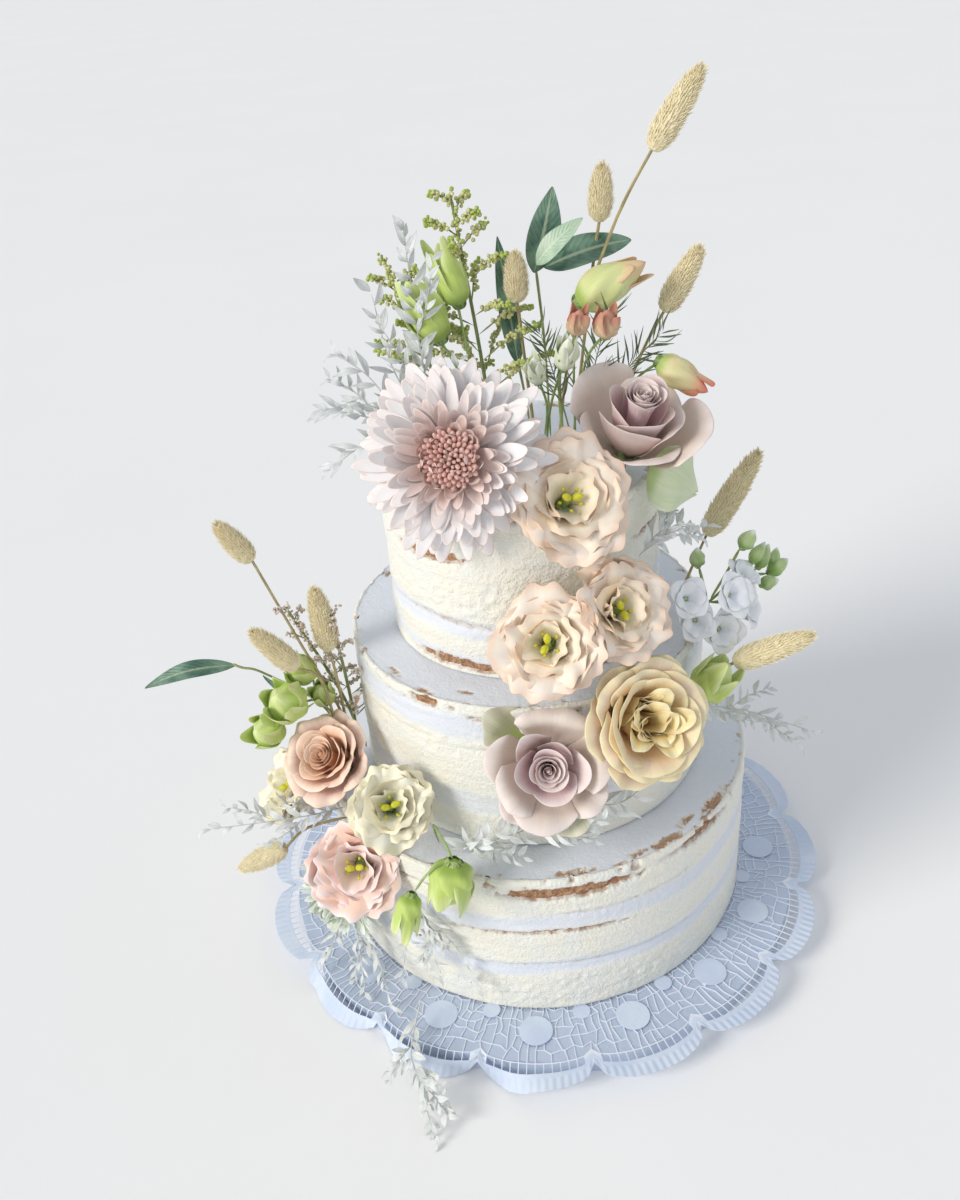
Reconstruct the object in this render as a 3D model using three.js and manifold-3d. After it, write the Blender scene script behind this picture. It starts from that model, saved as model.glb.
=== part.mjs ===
// A three-tier semi-naked wedding cake, dressed with fresh and dried flowers, on a paper doily over a round cake board.
// Millimetres, +Z up. The origin is the middle of the board's underside, and -Y is the side that the flowers face.
import * as THREE from "three";
import { mergeVertices } from "three/addons/utils/BufferGeometryUtils.js";
import { ConvexGeometry } from "three/addons/geometries/ConvexGeometry.js";
import Module from "manifold-3d";

const wasm = await Module();
wasm.setup();

// Driving dimensions of the board, the doily and the tiers.
const GAP = 0.32;
const BOARD = { radius: 160, thick: 12 };
const DOILY = { reach: 178, cusp: 164, scallops: 16, turn: 0.35, thick: 0.7, flat: 160.8 };
// Where the doily's rim is bent down, in degrees, and how far above the table it ends.
const FOLD = { azimuth: -122, half: 31, bend: 80, droop: 4, clear: 0.5 };
const COAT = { side: 2.4, top: 3 };
const ROUND_SIDES = 38;
const STEM = { radius: 0.8, sides: 3, step: 24 }; // a thin stem: its radius, its sides and the length of one step
const LEAF_THICK = 0.9;
const PETAL_THICK = 1.3;
const HEAD_ROOM = 2 * GAP; // how far a piece keeps clear of the hull of a flower head
const THIN_ROOM = 3 * GAP; // and of a thin piece, whose points are moved along its normals
const TIERS = [
  { name: "bottom", radius: 127, foot: 13.3, top: 113 },
  { name: "middle", radius: 100, foot: 113.3, top: 205 },
  { name: "top", radius: 75, foot: 205.3, top: 298 },
];

// Where the coat is scraped to the sponge: tier, middle azimuth and half width in degrees, middle height and half height.
const SCRAPES = [
  { tier: "top", azimuth: -130, half: 24, height: 272, tall: 3.6 },
  { tier: "top", azimuth: -125, half: 32, height: 209.5, tall: 3.4 },
  { tier: "bottom", azimuth: -83, half: 18, height: 103, tall: 5 },
  { tier: "bottom", azimuth: -53, half: 10, height: 107, tall: 2.6 },
];

const COLOURS = {
  board: 0xb9bfc6, paper: 0xd6e0f4, sponge: 0xb07a4e, coat: 0xf2f1e6,
  mum: 0xf0dfdc, mauve: 0xd9bfc0, cream: 0xf0dcae, peach: 0xf2c0a4, blush: 0xf6dcc4, ivory: 0xf3ecd6, pink: 0xf5cfc4,
  leaf: 0x3f6247, lime: 0xa9c65a, bud: 0xc9cf8a, tail: 0xcdb98a, straw: 0xb5a488, bleached: 0xe6e8ea,
  white: 0xe6ecf6, spray: 0x9fae62, needle: 0x5f7050, palegreen: 0xc9d2b0,
};

const rad = THREE.MathUtils.degToRad;
const V = (x, y, z) => new THREE.Vector3(x, y, z);
const lerp = THREE.MathUtils.lerp;

// A closed solid from points and triangles, turned inside out if its faces point inwards.
function closed(points, triangles) {
  let sum = 0;
  const cross = V(0, 0, 0);
  for (const [a, b, c] of triangles) sum += points[a].dot(cross.crossVectors(points[b], points[c]));
  const flat = new Float32Array(points.flatMap((p) => [p.x, p.y, p.z]));
  const turned = sum < 0 ? triangles.map(([a, b, c]) => [a, c, b]) : triangles;
  return new wasm.Manifold(
    new wasm.Mesh({ numProp: 3, vertProperties: flat, triVerts: new Uint32Array(turned.flat()) }),
  );
}

// A three.js geometry as a closed solid, its seams and poles merged.
function solidOf(geometry) {
  const bare = new THREE.BufferGeometry().setAttribute("position", geometry.getAttribute("position"));
  if (geometry.index) bare.setIndex(geometry.index);
  const merged = mergeVertices(bare, 1e-4);
  const at = merged.getAttribute("position");
  const points = Array.from({ length: at.count }, (_, i) => new THREE.Vector3().fromBufferAttribute(at, i));
  const corners = Array.from(merged.index.array);
  const triangles = [];
  for (let i = 0; i < corners.length; i += 3) {
    const [a, b, c] = corners.slice(i, i + 3);
    if (a !== b && b !== c && c !== a) triangles.push([a, b, c]);
  }
  return closed(points, triangles);
}

function geometryOf(solid) {
  const { vertProperties, triVerts } = solid.getMesh();
  return new THREE.BufferGeometry()
    .setAttribute("position", new THREE.BufferAttribute(new Float32Array(vertProperties), 3))
    .setIndex(new THREE.BufferAttribute(new Uint32Array(triVerts), 1));
}

const joined = (solids) => solids.reduce((whole, solid) => whole.add(solid));

// The same solid with each of its points changed.
function reshaped(solid, change) {
  const { vertProperties, triVerts } = solid.getMesh();
  const points = [];
  for (let i = 0; i < vertProperties.length; i += 3) points.push(change(V(...vertProperties.subarray(i, i + 3)), i / 3));
  return new wasm.Manifold(
    new wasm.Mesh({
      numProp: 3,
      vertProperties: new Float32Array(points.flatMap((p) => [p.x, p.y, p.z])),
      triVerts: new Uint32Array(triVerts),
    }),
  );
}

const moved = (solid, matrix) => reshaped(solid, (p) => p.applyMatrix4(matrix));

// The solid without the loose scraps that a cut leaves: only the body with the largest volume.
function withoutScraps(solid) {
  const { vertProperties, triVerts } = solid.getMesh();
  const parent = Array.from({ length: vertProperties.length / 3 }, (_, i) => i);
  const root = (i) => {
    while (parent[i] !== i) {
      parent[i] = parent[parent[i]];
      i = parent[i];
    }
    return i;
  };
  for (let t = 0; t < triVerts.length; t += 3) {
    parent[root(triVerts[t])] = root(triVerts[t + 1]);
    parent[root(triVerts[t + 1])] = root(triVerts[t + 2]);
  }
  const point = (i) => V(...vertProperties.subarray(3 * i, 3 * i + 3));
  const volumes = new Map();
  for (let t = 0; t < triVerts.length; t += 3) {
    const [a, b, c] = [triVerts[t], triVerts[t + 1], triVerts[t + 2]];
    const part = point(a).dot(point(b).cross(point(c)));
    volumes.set(root(a), (volumes.get(root(a)) ?? 0) + part);
  }
  const [best] = [...volumes.entries()].sort((p, q) => q[1] - p[1])[0];
  const kept = [];
  const renumbered = new Map();
  const points = [];
  for (const i of triVerts) {
    if (root(i) !== best) continue;
    if (!renumbered.has(i)) {
      renumbered.set(i, points.length);
      points.push(point(i));
    }
    kept.push(renumbered.get(i));
  }
  const triangles = [];
  for (let t = 0; t < kept.length; t += 3) triangles.push(kept.slice(t, t + 3));
  return closed(points, triangles);
}

// The place of a piece whose own +Z looks along `faces`, with its own +X turned by `roll` degrees.
function placeAt(at, faces, roll = 0) {
  const turn = new THREE.Quaternion().setFromUnitVectors(V(0, 0, 1), V(...faces).normalize());
  turn.multiply(new THREE.Quaternion().setFromAxisAngle(V(0, 0, 1), rad(roll)));
  return new THREE.Matrix4().compose(V(...at), turn, V(1, 1, 1));
}

// A thin curved sheet as a closed solid: pointAt(across -1..1, along 0..1) is its middle surface.
function sheet(columns, rows, thickness, pointAt) {
  const points = [];
  const side = (columns + 1) * (rows + 1);
  const small = 0.02;
  for (const face of [0.5, -0.5]) {
    for (let j = 0; j <= rows; j++) {
      for (let i = 0; i <= columns; i++) {
        const u = lerp(-1, 1, i / columns);
        const v = j / rows;
        const across = pointAt(u + small, v).sub(pointAt(u - small, v));
        const along = pointAt(u, v + small).sub(pointAt(u, v - small));
        points.push(pointAt(u, v).addScaledVector(across.cross(along).normalize(), face * thickness));
      }
    }
  }
  const triangles = [];
  const at = (i, j) => j * (columns + 1) + i;
  for (let j = 0; j < rows; j++) {
    for (let i = 0; i < columns; i++) {
      const [a, b, c, d] = [at(i, j), at(i + 1, j), at(i + 1, j + 1), at(i, j + 1)];
      triangles.push([a, b, c], [a, c, d], [a + side, c + side, b + side], [a + side, d + side, c + side]);
    }
  }
  const rim = [];
  for (let i = 0; i < columns; i++) rim.push(at(i, 0));
  for (let j = 0; j < rows; j++) rim.push(at(columns, j));
  for (let i = columns; i > 0; i--) rim.push(at(i, rows));
  for (let j = rows; j > 0; j--) rim.push(at(0, j));
  rim.forEach((a, k) => {
    const b = rim[(k + 1) % rim.length];
    triangles.push([b, a, a + side], [b, a + side, b + side]);
  });
  return closed(points, triangles);
}

// A slim pointed blade of eight triangles, such as a mum's petal or a small leaf, from one point to another.
function blade(from, to, wide, thick, across) {
  const along = to.clone().sub(from);
  const side = across.clone().cross(along).normalize();
  const up = along.clone().cross(side).normalize();
  const belly = from.clone().addScaledVector(along, 0.55);
  const ring = [
    belly.clone().addScaledVector(side, wide / 2),
    belly.clone().addScaledVector(up, thick / 2),
    belly.clone().addScaledVector(side, -wide / 2),
    belly.clone().addScaledVector(up, -thick / 2),
  ];
  const triangles = [];
  for (let k = 0; k < 4; k++) triangles.push([0, 2 + k, 2 + ((k + 1) % 4)], [1, 2 + ((k + 1) % 4), 2 + k]);
  return closed([from, to, ...ring], triangles);
}

// A round bead, low in triangles.
function bead(at, radius) {
  return solidOf(new THREE.OctahedronGeometry(radius, 0).translate(at.x, at.y, at.z));
}

// A stem along a smooth curve through the given points.
function stem(route, radius = STEM.radius) {
  const curve = new THREE.CatmullRomCurve3(route.map((p) => (p.isVector3 ? p : V(...p))));
  const section = new THREE.Shape(
    Array.from({ length: STEM.sides }, (_, k) => {
      const turn = (2 * Math.PI * k) / STEM.sides;
      return new THREE.Vector2(radius * Math.cos(turn), radius * Math.sin(turn));
    }),
  );
  const steps = Math.max(2, Math.round(curve.getLength() / STEM.step));
  return solidOf(new THREE.ExtrudeGeometry(section, { steps, bevelEnabled: false, extrudePath: curve }));
}

function turned(profile, sides = 8) {
  return solidOf(new THREE.LatheGeometry(profile.map(([r, z]) => new THREE.Vector2(r, z)), sides).rotateX(Math.PI / 2));
}

// The board: a plain round drum.
function board() {
  const { radius, thick } = BOARD;
  return turned([[0, 0], [radius, 0], [radius, thick], [0, thick]], ROUND_SIDES);
}

// How far the doily's outline stands from the axis at an azimuth, in radians.
function scallop(azimuth) {
  const phase = (azimuth / (2 * Math.PI)) * DOILY.scallops - DOILY.turn;
  const across = 2 * (phase - Math.floor(phase)) - 1;
  return lerp(DOILY.cusp, DOILY.reach, Math.sqrt(Math.max(0, 1 - across * across)));
}

// How steeply the doily's rim hangs down outside the board, in radians.
function bendAt(azimuth) {
  const off = THREE.MathUtils.radToDeg(azimuth) - FOLD.azimuth;
  const away = Math.abs(((off + 900) % 360) - 180);
  return rad(lerp(FOLD.bend, FOLD.droop, THREE.MathUtils.smoothstep(away / FOLD.half, 0.55, 1)));
}

// The doily: a flat sheet of paper with a scalloped rim, which is bent down at one place.
function doily() {
  const { scallops, turn, thick, flat } = DOILY;
  const perScallop = 4;
  const count = scallops * perScallop;
  const level = BOARD.thick + GAP;
  const upper = [V(0, 0, level + thick)];
  const lower = [V(0, 0, level)];
  const azimuths = Array.from({ length: count }, (_, k) => ((k / perScallop + turn) * 2 * Math.PI) / scallops);
  for (const azimuth of azimuths) {
    const out = V(Math.cos(azimuth), Math.sin(azimuth), 0);
    upper.push(out.clone().multiplyScalar(flat + GAP).setZ(level + thick));
    lower.push(out.clone().multiplyScalar(flat).setZ(level));
  }
  for (const azimuth of azimuths) {
    const long = scallop(azimuth) - flat;
    const bend = Math.min(bendAt(azimuth), Math.asin(Math.min(1, (level - FOLD.clear) / long)));
    const out = V(Math.cos(azimuth), Math.sin(azimuth), 0);
    const r = flat + long * Math.cos(bend);
    const z = level - long * Math.sin(bend);
    lower.push(out.clone().multiplyScalar(r).setZ(z));
    upper.push(out.clone().multiplyScalar(r + thick * Math.sin(bend)).setZ(z + thick * Math.cos(bend)));
  }
  const n = upper.length;
  const triangles = [];
  const both = (a, b, c) => triangles.push([a, b, c], [a + n, c + n, b + n]);
  for (let k = 0; k < count; k++) {
    const next = (k + 1) % count;
    const [a, b] = [1 + k, 1 + next];
    const [c, d] = [1 + count + k, 1 + count + next];
    both(0, a, b);
    both(a, c, d);
    both(a, d, b);
    triangles.push([c, c + n, d + n], [c, d + n, d]);
  }
  return closed([...upper, ...lower], triangles);
}

// The sponge of a tier: one solid disc, which the coat covers.
function sponge({ radius, foot, top }) {
  const r = radius - COAT.side - GAP;
  return turned([[0, foot], [r, foot], [r, top - COAT.top - GAP], [0, top - COAT.top - GAP]], ROUND_SIDES);
}

// A wedge of the tier's wall, with ends that run out to a point, as a palette knife scrapes it.
function scrape({ azimuth, half, height, tall }, radius) {
  const steps = 3;
  const points = [];
  for (let k = 0; k <= steps; k++) {
    const share = lerp(-1, 1, k / steps);
    const turn = rad(azimuth + half * share);
    const lift = Math.max(0.25, tall * Math.sqrt(1 - share * share));
    for (const r of [radius - COAT.side - GAP / 2, radius + 2]) {
      for (const z of [height - lift, height + lift]) points.push(V(r * Math.cos(turn), r * Math.sin(turn), z));
    }
  }
  const triangles = [[0, 1, 3], [0, 3, 2]];
  for (let k = 0; k < steps; k++) {
    const a = 4 * k;
    const ring = [0, 1, 3, 2];
    ring.forEach((p, i) => {
      const q = ring[(i + 1) % 4];
      triangles.push([a + q, a + p, a + p + 4], [a + q, a + p + 4, a + q + 4]);
    });
  }
  const last = 4 * steps;
  triangles.push([last, last + 3, last + 1], [last, last + 2, last + 3]);
  return closed(points, triangles);
}

// The coat of a tier: a cup of buttercream turned over the sponge, cut where the knife has scraped it off.
function coat(tier) {
  const { name, radius, foot, top } = tier;
  const inner = radius - COAT.side;
  const shell = turned(
    [[0, top - COAT.top], [inner, top - COAT.top], [inner, foot], [radius, foot], [radius, top], [0, top]],
    ROUND_SIDES,
  );
  const cuts = SCRAPES.filter((s) => s.tier === name).map((s) => scrape(s, radius));
  return cuts.length ? shell.subtract(joined(cuts)) : shell;
}

// A whorl of petals grown together at the foot: a thin cup with a lobed and wavy rim. The profile gives
// [distance from the axis, height] from the foot at 0 to the rim at 1.
function whorl({ petals, profile, start = 0, lobe = 0.2, ruffle = 0, rows = 2, columns = 3 }) {
  const around = petals * columns;
  const points = [];
  const surface = (i, v) => {
    const turn = (2 * Math.PI * i) / around + rad(start);
    const notch = Math.abs(Math.cos((Math.PI * i) / columns)) ** 3;
    const petalNumber = Math.floor(i / columns + 0.5);
    const uneven = 1 + 0.05 * Math.sin(2.4 * petalNumber + start);
    const [r, z] = profile(v * (1 - lobe * notch));
    const wave = ruffle * v * Math.sin(2.1 * i + start);
    return V(r * uneven * Math.cos(turn), r * uneven * Math.sin(turn), z + wave);
  };
  const small = 0.02;
  for (const face of [0.5, -0.5]) {
    for (let j = 0; j <= rows; j++) {
      for (let i = 0; i < around; i++) {
        const v = j / rows;
        const across = surface(i + small, v).sub(surface(i - small, v));
        const along = surface(i, v + small).sub(surface(i, v - small));
        points.push(surface(i, v).addScaledVector(across.cross(along).normalize(), face * PETAL_THICK));
      }
    }
  }
  const side = (rows + 1) * around;
  const at = (i, j) => j * around + (i % around);
  const triangles = [];
  for (let i = 0; i < around; i++) {
    for (let j = 0; j < rows; j++) {
      const [a, b, c, d] = [at(i, j), at(i + 1, j), at(i + 1, j + 1), at(i, j + 1)];
      triangles.push([a, b, c], [a, c, d], [a + side, c + side, b + side], [a + side, d + side, c + side]);
    }
    for (const j of [0, rows]) {
      const [a, b] = j ? [at(i + 1, j), at(i, j)] : [at(i, j), at(i + 1, j)];
      triangles.push([b, a, a + side], [b, a + side, b + side]);
    }
  }
  return closed(points, triangles);
}

// A rose: a rolled bud inside whorls of cupped petals whose edges curl outwards. Its face is at z 0.
function rose({ wide, tall }) {
  const r = wide / 2;
  const cup = (reach, height, curl) => (v) => [
    r * (0.14 + (reach - 0.14) * Math.sin((Math.PI / 2) * v) + curl * v ** 4),
    -tall + tall * height * (v - curl * v ** 4),
  ];
  return joined([
    turned([[0, -tall - 4], [r * 0.3, -tall], [r * 0.4, -tall * 0.4], [r * 0.3, -0.5], [0, -4]], 6),
    whorl({ petals: 4, start: 50, profile: cup(0.62, 0.95, 0.08), columns: 2 }),
    whorl({ petals: 5, start: 5, profile: cup(0.84, 0.8, 0.2), columns: 3 }),
  ]);
}

// A lisianthus: a cup of ruffled petals round a short green pistil.
function lisianthus({ wide, tall }) {
  const r = wide / 2;
  const bowl = (reach, lift) => (v) => [r * (0.1 + (reach - 0.1) * v), -tall + tall * lift * (1 - (1 - v) ** 2)];
  return joined([
    turned([[0, -tall - 4], [r * 0.3, -tall], [r * 0.4, -2], [r * 0.14, -8], [0, -4]], 6),
    whorl({ petals: 5, start: 40, profile: bowl(1, 0.9), ruffle: 2.6 }),
  ]);
}

// A stock's floret: one open whorl of four ruffled petals.
function floret({ wide, tall }) {
  const r = wide / 2;
  return joined([
    turned([[0, -tall - 3], [r * 0.22, -tall * 0.7], [0, -tall * 0.3]], 5),
    whorl({ petals: 4, profile: (v) => [r * (0.12 + 0.88 * v), -tall * (1 - v) ** 2], ruffle: 1.8, rows: 1 }),
  ]);
}

// A chrysanthemum: rings of slim petals that open from a dense middle.
function mum({ wide, tall, rings }) {
  const r = wide / 2;
  const petals = [turned([[0, -tall], [r * 0.22, -tall * 0.75], [r * 0.3, -tall * 0.35], [r * 0.2, -1.5], [0, 0]], 8)];
  rings.forEach(({ count, lean, reach, width }, ring) => {
    for (let k = 0; k < count; k++) {
      const turn = (2 * Math.PI * (k + 0.5 * (ring % 2))) / count + 0.07 * Math.sin(5 * k);
      const out = r * reach * (1 + 0.07 * Math.sin(3.1 * k + ring));
      const root = V(0, 0, -tall * 0.55);
      const tipAt = V(
        out * Math.cos(turn) * Math.sin(rad(lean)),
        out * Math.sin(turn) * Math.sin(rad(lean)),
        root.z + out * Math.cos(rad(lean)),
      );
      const across = V(-Math.sin(turn), Math.cos(turn), 0);
      petals.push(blade(root.clone().lerp(tipAt, 0.22), tipAt, width, 2.2, across.cross(tipAt.clone().sub(root))));
    }
  });
  return joined(petals);
}

// A closed bud from its stalk at z 0 to its tip.
function bud({ wide, tall }) {
  const r = wide / 2;
  return turned([[0, 0], [r * 0.98, tall * 0.34], [r * 0.7, tall * 0.7], [0, tall]], 6);
}

// The seed head of a bunny tail grass on its own thin stem.
function tail({ base, tip, wide, route }) {
  const from = V(...base);
  const long = V(...tip).distanceTo(from);
  const r = wide / 2;
  const head = turned(
    [[0, 0], [r * 0.95, long * 0.16], [r * 0.95, long * 0.55], [r * 0.5, long * 0.9], [0, long]],
    6,
  );
  const placed = moved(head, placeAt(base, V(...tip).sub(from).toArray()));
  const inside = from.clone().lerp(V(...tip), 0.1);
  return joined([placed, stem([inside, ...route])]);
}

// A leaf from its stalk to its tip, folded along the middle and arched.
function leaf({ from, to, wide, arch = 3, side = [0, 0, 1], fold = 0.2, rows = 4 }) {
  const [start, end] = [V(...from), V(...to)];
  const along = end.clone().sub(start);
  const across = along.clone().cross(V(...side)).normalize();
  const up = across.clone().cross(along).normalize();
  return sheet(2, rows, LEAF_THICK, (u, v) => {
    const half = (wide / 2) * Math.max(0.08, Math.sin(Math.PI * Math.min(1, Math.max(0, v)) ** 0.8));
    const lift = arch * Math.sin(Math.PI * v) + fold * half * Math.abs(u);
    return start.clone().addScaledVector(along, v).addScaledVector(across, u * half).addScaledVector(up, lift);
  });
}

// A twig with pairs of small leaves, such as bleached ruscus.
function sprig({ route, leaves, long, wide, side = [0, 0, 1], from = 0.12, radius = 0.6 }) {
  const curve = new THREE.CatmullRomCurve3(route.map((p) => V(...p)));
  const parts = [stem(route, radius)];
  for (let k = 0; k < leaves; k++) {
    const share = from + ((0.97 - from) * k) / Math.max(1, leaves - 1);
    const root = curve.getPointAt(share);
    const along = curve.getTangentAt(share);
    const across = V(...side).cross(along).normalize().multiplyScalar(k % 2 ? 1 : -1);
    const reach = long * (1 - 0.3 * share) * (1 + 0.14 * Math.sin(4 * k));
    const out = along.clone().multiplyScalar(0.75).addScaledVector(across, 0.75);
    out.addScaledVector(V(...side), 0.18 * Math.sin(7 * k)).normalize();
    const end = root.clone().addScaledVector(out, reach);
    parts.push(blade(root.clone().addScaledVector(out, -0.5), end, wide, 1, V(...side)));
  }
  return joined(parts);
}

// A plume of tiny round buds on side twigs, such as goldenrod.
function plume({ route, twigs, long, grain = 2 }) {
  const curve = new THREE.CatmullRomCurve3(route.map((p) => V(...p)));
  const parts = [stem(route, 0.9), bead(curve.getPointAt(1), grain)];
  for (let k = 0; k < twigs; k++) {
    const share = lerp(0.42, 0.95, k / Math.max(1, twigs - 1));
    const root = curve.getPointAt(share);
    const turn = 2.4 * k;
    const out = V(Math.cos(turn), 0.5 * Math.sin(turn), 0.9).normalize();
    const reach = long * (1.25 - share);
    const end = root.clone().addScaledVector(out, reach);
    parts.push(blade(root.clone().addScaledVector(out, -0.6), end, 2.4, 2.4, V(0, 1, 0)), bead(end, grain));
  }
  return joined(parts);
}

// A stem with round or long buds hung on it; each bud goes from `from` to `to`.
function budded({ buds, stems }) {
  const heads = buds.map(({ from, to, wide }) => {
    const along = V(...to).sub(V(...from));
    return moved(bud({ wide, tall: along.length() }), placeAt(from, along.toArray()));
  });
  return joined([...heads, ...stems.map((route) => stem(route))]);
}

// Points to keep clear of, made by moving each point of a thin solid a little outwards.
function swollen(solid, by) {
  const geometry = geometryOf(solid);
  geometry.computeVertexNormals();
  const normals = geometry.getAttribute("normal");
  return reshaped(solid, (p, i) => p.addScaledVector(new THREE.Vector3().fromBufferAttribute(normals, i), by));
}

// The room that a flower head takes: the hull of its points, a little swollen.
function hullOf(solid, by) {
  const { vertProperties } = solid.getMesh();
  const points = [];
  for (let i = 0; i < vertProperties.length; i += 3) points.push(V(...vertProperties.subarray(i, i + 3)));
  const middle = points.reduce((sum, p) => sum.add(p), V(0, 0, 0)).divideScalar(points.length);
  return solidOf(new ConvexGeometry(points.map((p) => p.addScaledVector(p.clone().sub(middle).normalize(), by))));
}

const group = new THREE.Group();
let taken = null;

// Adds a piece as it is, and keeps its room clear of what comes later.
function place(name, colour, solid, room, roughness = 0.7) {
  const material = new THREE.MeshStandardMaterial({ color: colour, roughness, metalness: 0 });
  const mesh = new THREE.Mesh(geometryOf(solid), material);
  mesh.name = name;
  group.add(mesh);
  taken = taken ? taken.add(room) : room;
}

// Adds a piece, cut back from everything that is already there.
function fit(name, colour, solid, { head = false, roughness = 0.7 } = {}) {
  const cut = withoutScraps(solid.subtract(taken));
  place(name, colour, cut, head ? hullOf(cut, HEAD_ROOM) : swollen(cut, THIN_ROOM), roughness);
}

// A stock's spike: ruffled florets round a stem, with buds at its tips.
function stock({ florets, ...shape }) {
  const heads = florets.map(({ at, faces, ...size }) => moved(floret(size), placeAt(at, faces)));
  return joined([...heads, budded(shape)]);
}

// The board, the doily and the tiers, each with its room.
const tierRoom = ({ radius, foot, top }) =>
  turned([[0, foot - 1], [radius + 2 * GAP, foot - 1], [radius + 2 * GAP, top + GAP], [0, top + GAP]], ROUND_SIDES);
const boardRoom = turned(
  [[0, -1], [BOARD.radius + 0.6, -1], [BOARD.radius + 0.6, BOARD.thick + 1.4], [0, BOARD.thick + 1.4]],
  ROUND_SIDES,
);
place("board", COLOURS.board, board(), boardRoom);
const paper = doily();
place("doily", COLOURS.paper, paper, swollen(paper, GAP), 0.85);
for (const tier of TIERS) {
  place(`sponge_${tier.name}`, COLOURS.sponge, sponge(tier), tierRoom(tier), 0.95);
  place(`coat_${tier.name}`, COLOURS.coat, coat(tier), tierRoom(tier), 0.6);
}

// Flower heads. `at` is the middle of the flower's face and `faces` is the way that it looks.
const FLOWERS = [
  { name: "rose_mauve_front", form: rose, at: [6, -130, 190], faces: [0, -0.85, 0.5], wide: 62, tall: 30, colour: "mauve" },
  { name: "rose_cream", form: rose, at: [61, -115, 203], faces: [0.4, -0.78, 0.45], wide: 62, tall: 30, colour: "cream" },
  { name: "mum_blush", form: mum, at: [-31, -86, 337], faces: [-0.05, -0.9, 0.42], wide: 90, tall: 30, colour: "mum",
    rings: [
      { count: 11, lean: 96, reach: 1, width: 18 },
      { count: 8, lean: 70, reach: 0.93, width: 19 },
      { count: 6, lean: 42, reach: 0.68, width: 13 },
    ] },
  { name: "lisianthus_top", form: lisianthus, at: [26, -80, 312], faces: [0.3, -0.75, 0.6], wide: 64, tall: 24,
    colour: "blush" },
  { name: "lisianthus_middle", form: lisianthus, at: [8, -106, 248], faces: [-0.1, -0.8, 0.55], wide: 58, tall: 24,
    colour: "blush" },
  { name: "lisianthus_right", form: lisianthus, at: [50, -90, 255], faces: [0.5, -0.7, 0.5], wide: 58, tall: 22,
    colour: "blush" },
  { name: "rose_mauve_top", form: rose, at: [60, -44, 342], faces: [0.2, -0.55, 0.8], wide: 56, tall: 36, colour: "mauve" },
  { name: "rose_peach", form: rose, at: [-118, -72, 162], faces: [-0.3, -0.6, 0.75], wide: 54, tall: 32, colour: "peach" },
  { name: "lisianthus_ivory", form: lisianthus, at: [-76, -106, 152], faces: [0.15, -0.7, 0.7], wide: 50, tall: 26,
    colour: "ivory" },
  { name: "lisianthus_pink", form: lisianthus, at: [-102, -108, 108], faces: [-0.1, -0.85, 0.5], wide: 60, tall: 24,
    colour: "pink" },
  { name: "lisianthus_left", form: lisianthus, at: [-148, -56, 128], faces: [-0.7, -0.35, 0.6], wide: 50, tall: 24,
    colour: "ivory" },
  { name: "mum_white", form: mum, at: [-122, -92, 64], faces: [-0.5, -0.75, -0.1], wide: 56, tall: 18, colour: "palegreen",
    rings: [
      { count: 10, lean: 88, reach: 1, width: 12 },
      { count: 6, lean: 60, reach: 0.8, width: 11 },
    ] },
];
for (const { name, form, at, faces, colour, ...size } of FLOWERS) {
  fit(name, COLOURS[colour], moved(form(size), placeAt(at, faces)), { head: true });
}

const STOCK = {
  florets: [
    { at: [108, -40, 222], faces: [0.6, -0.6, 0.55], wide: 42, tall: 18 },
    { at: [84, -54, 238], faces: [0.4, -0.7, 0.6], wide: 30, tall: 14 },
  ],
  buds: [
    { from: [134, -8, 220], to: [146, -2, 226], wide: 13 },
    { from: [116, -20, 244], to: [123, -22, 258], wide: 11 },
    { from: [92, -26, 238], to: [91, -28, 252], wide: 10 },
  ],
  stems: [
    [[135, -8, 220], [118, -14, 222], [98, -28, 216], [86, -36, 206]],
    [[116, -20, 246], [108, -22, 230], [98, -28, 216]],
    [[92, -26, 240], [98, -28, 216]],
    [[82, -46, 230], [98, -28, 216]],
  ],
};
fit("stock_spike", COLOURS.white, stock(STOCK));

// Bunny tail grasses: `base` and `tip` of the seed head, then the stem's way down from the head.
const TAILS = [
  { name: "tail_top_right", base: [71, 20, 440], tip: [95, 20, 477], route: [[52, 6, 411], [30, 8, 350], [22, 8, 299]] },
  { name: "tail_top_upright", base: [46, 20, 409], tip: [48, 20, 438], route: [[42, 18, 385], [30, 14, 299]] },
  { name: "tail_top_left", base: [4, 4, 377], tip: [4, 4, 404], route: [[6, 8, 350], [10, 12, 299]] },
  { name: "tail_top_side", base: [78, 20, 362], tip: [97, 20, 396], route: [[66, 18, 340], [50, 16, 299]] },
  { name: "tail_right_upper", base: [102, 8, 237], tip: [130, 10, 288], route: [[92, 0, 218], [86, -6, 206]] },
  { name: "tail_right_lower", base: [106, -60, 198], tip: [148, -64, 217], route: [[96, -60, 192], [84.5, -58, 184]] },
  { name: "tail_left_upper", base: [-140, -40, 265], tip: [-156, -40, 290],
    route: [[-124, -40, 215], [-108, -36, 160], [-106, -30, 114]] },
  { name: "tail_left_upright", base: [-108, -40, 207], tip: [-111, -40, 249], route: [[-106, -40, 175], [-106, -36, 114]] },
  { name: "tail_left_middle", base: [-122, -60, 210], tip: [-144, -60, 237], route: [[-112, -50, 190], [-110, -42, 114]] },
  { name: "tail_left_lower", base: [-142, -82, 104], tip: [-173, -82, 88], route: [[-130, -76, 112], [-104, -70, 114]] },
];
for (const { name, ...shape } of TAILS) fit(name, COLOURS.tail, tail({ ...shape, wide: 15 }));

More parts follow.
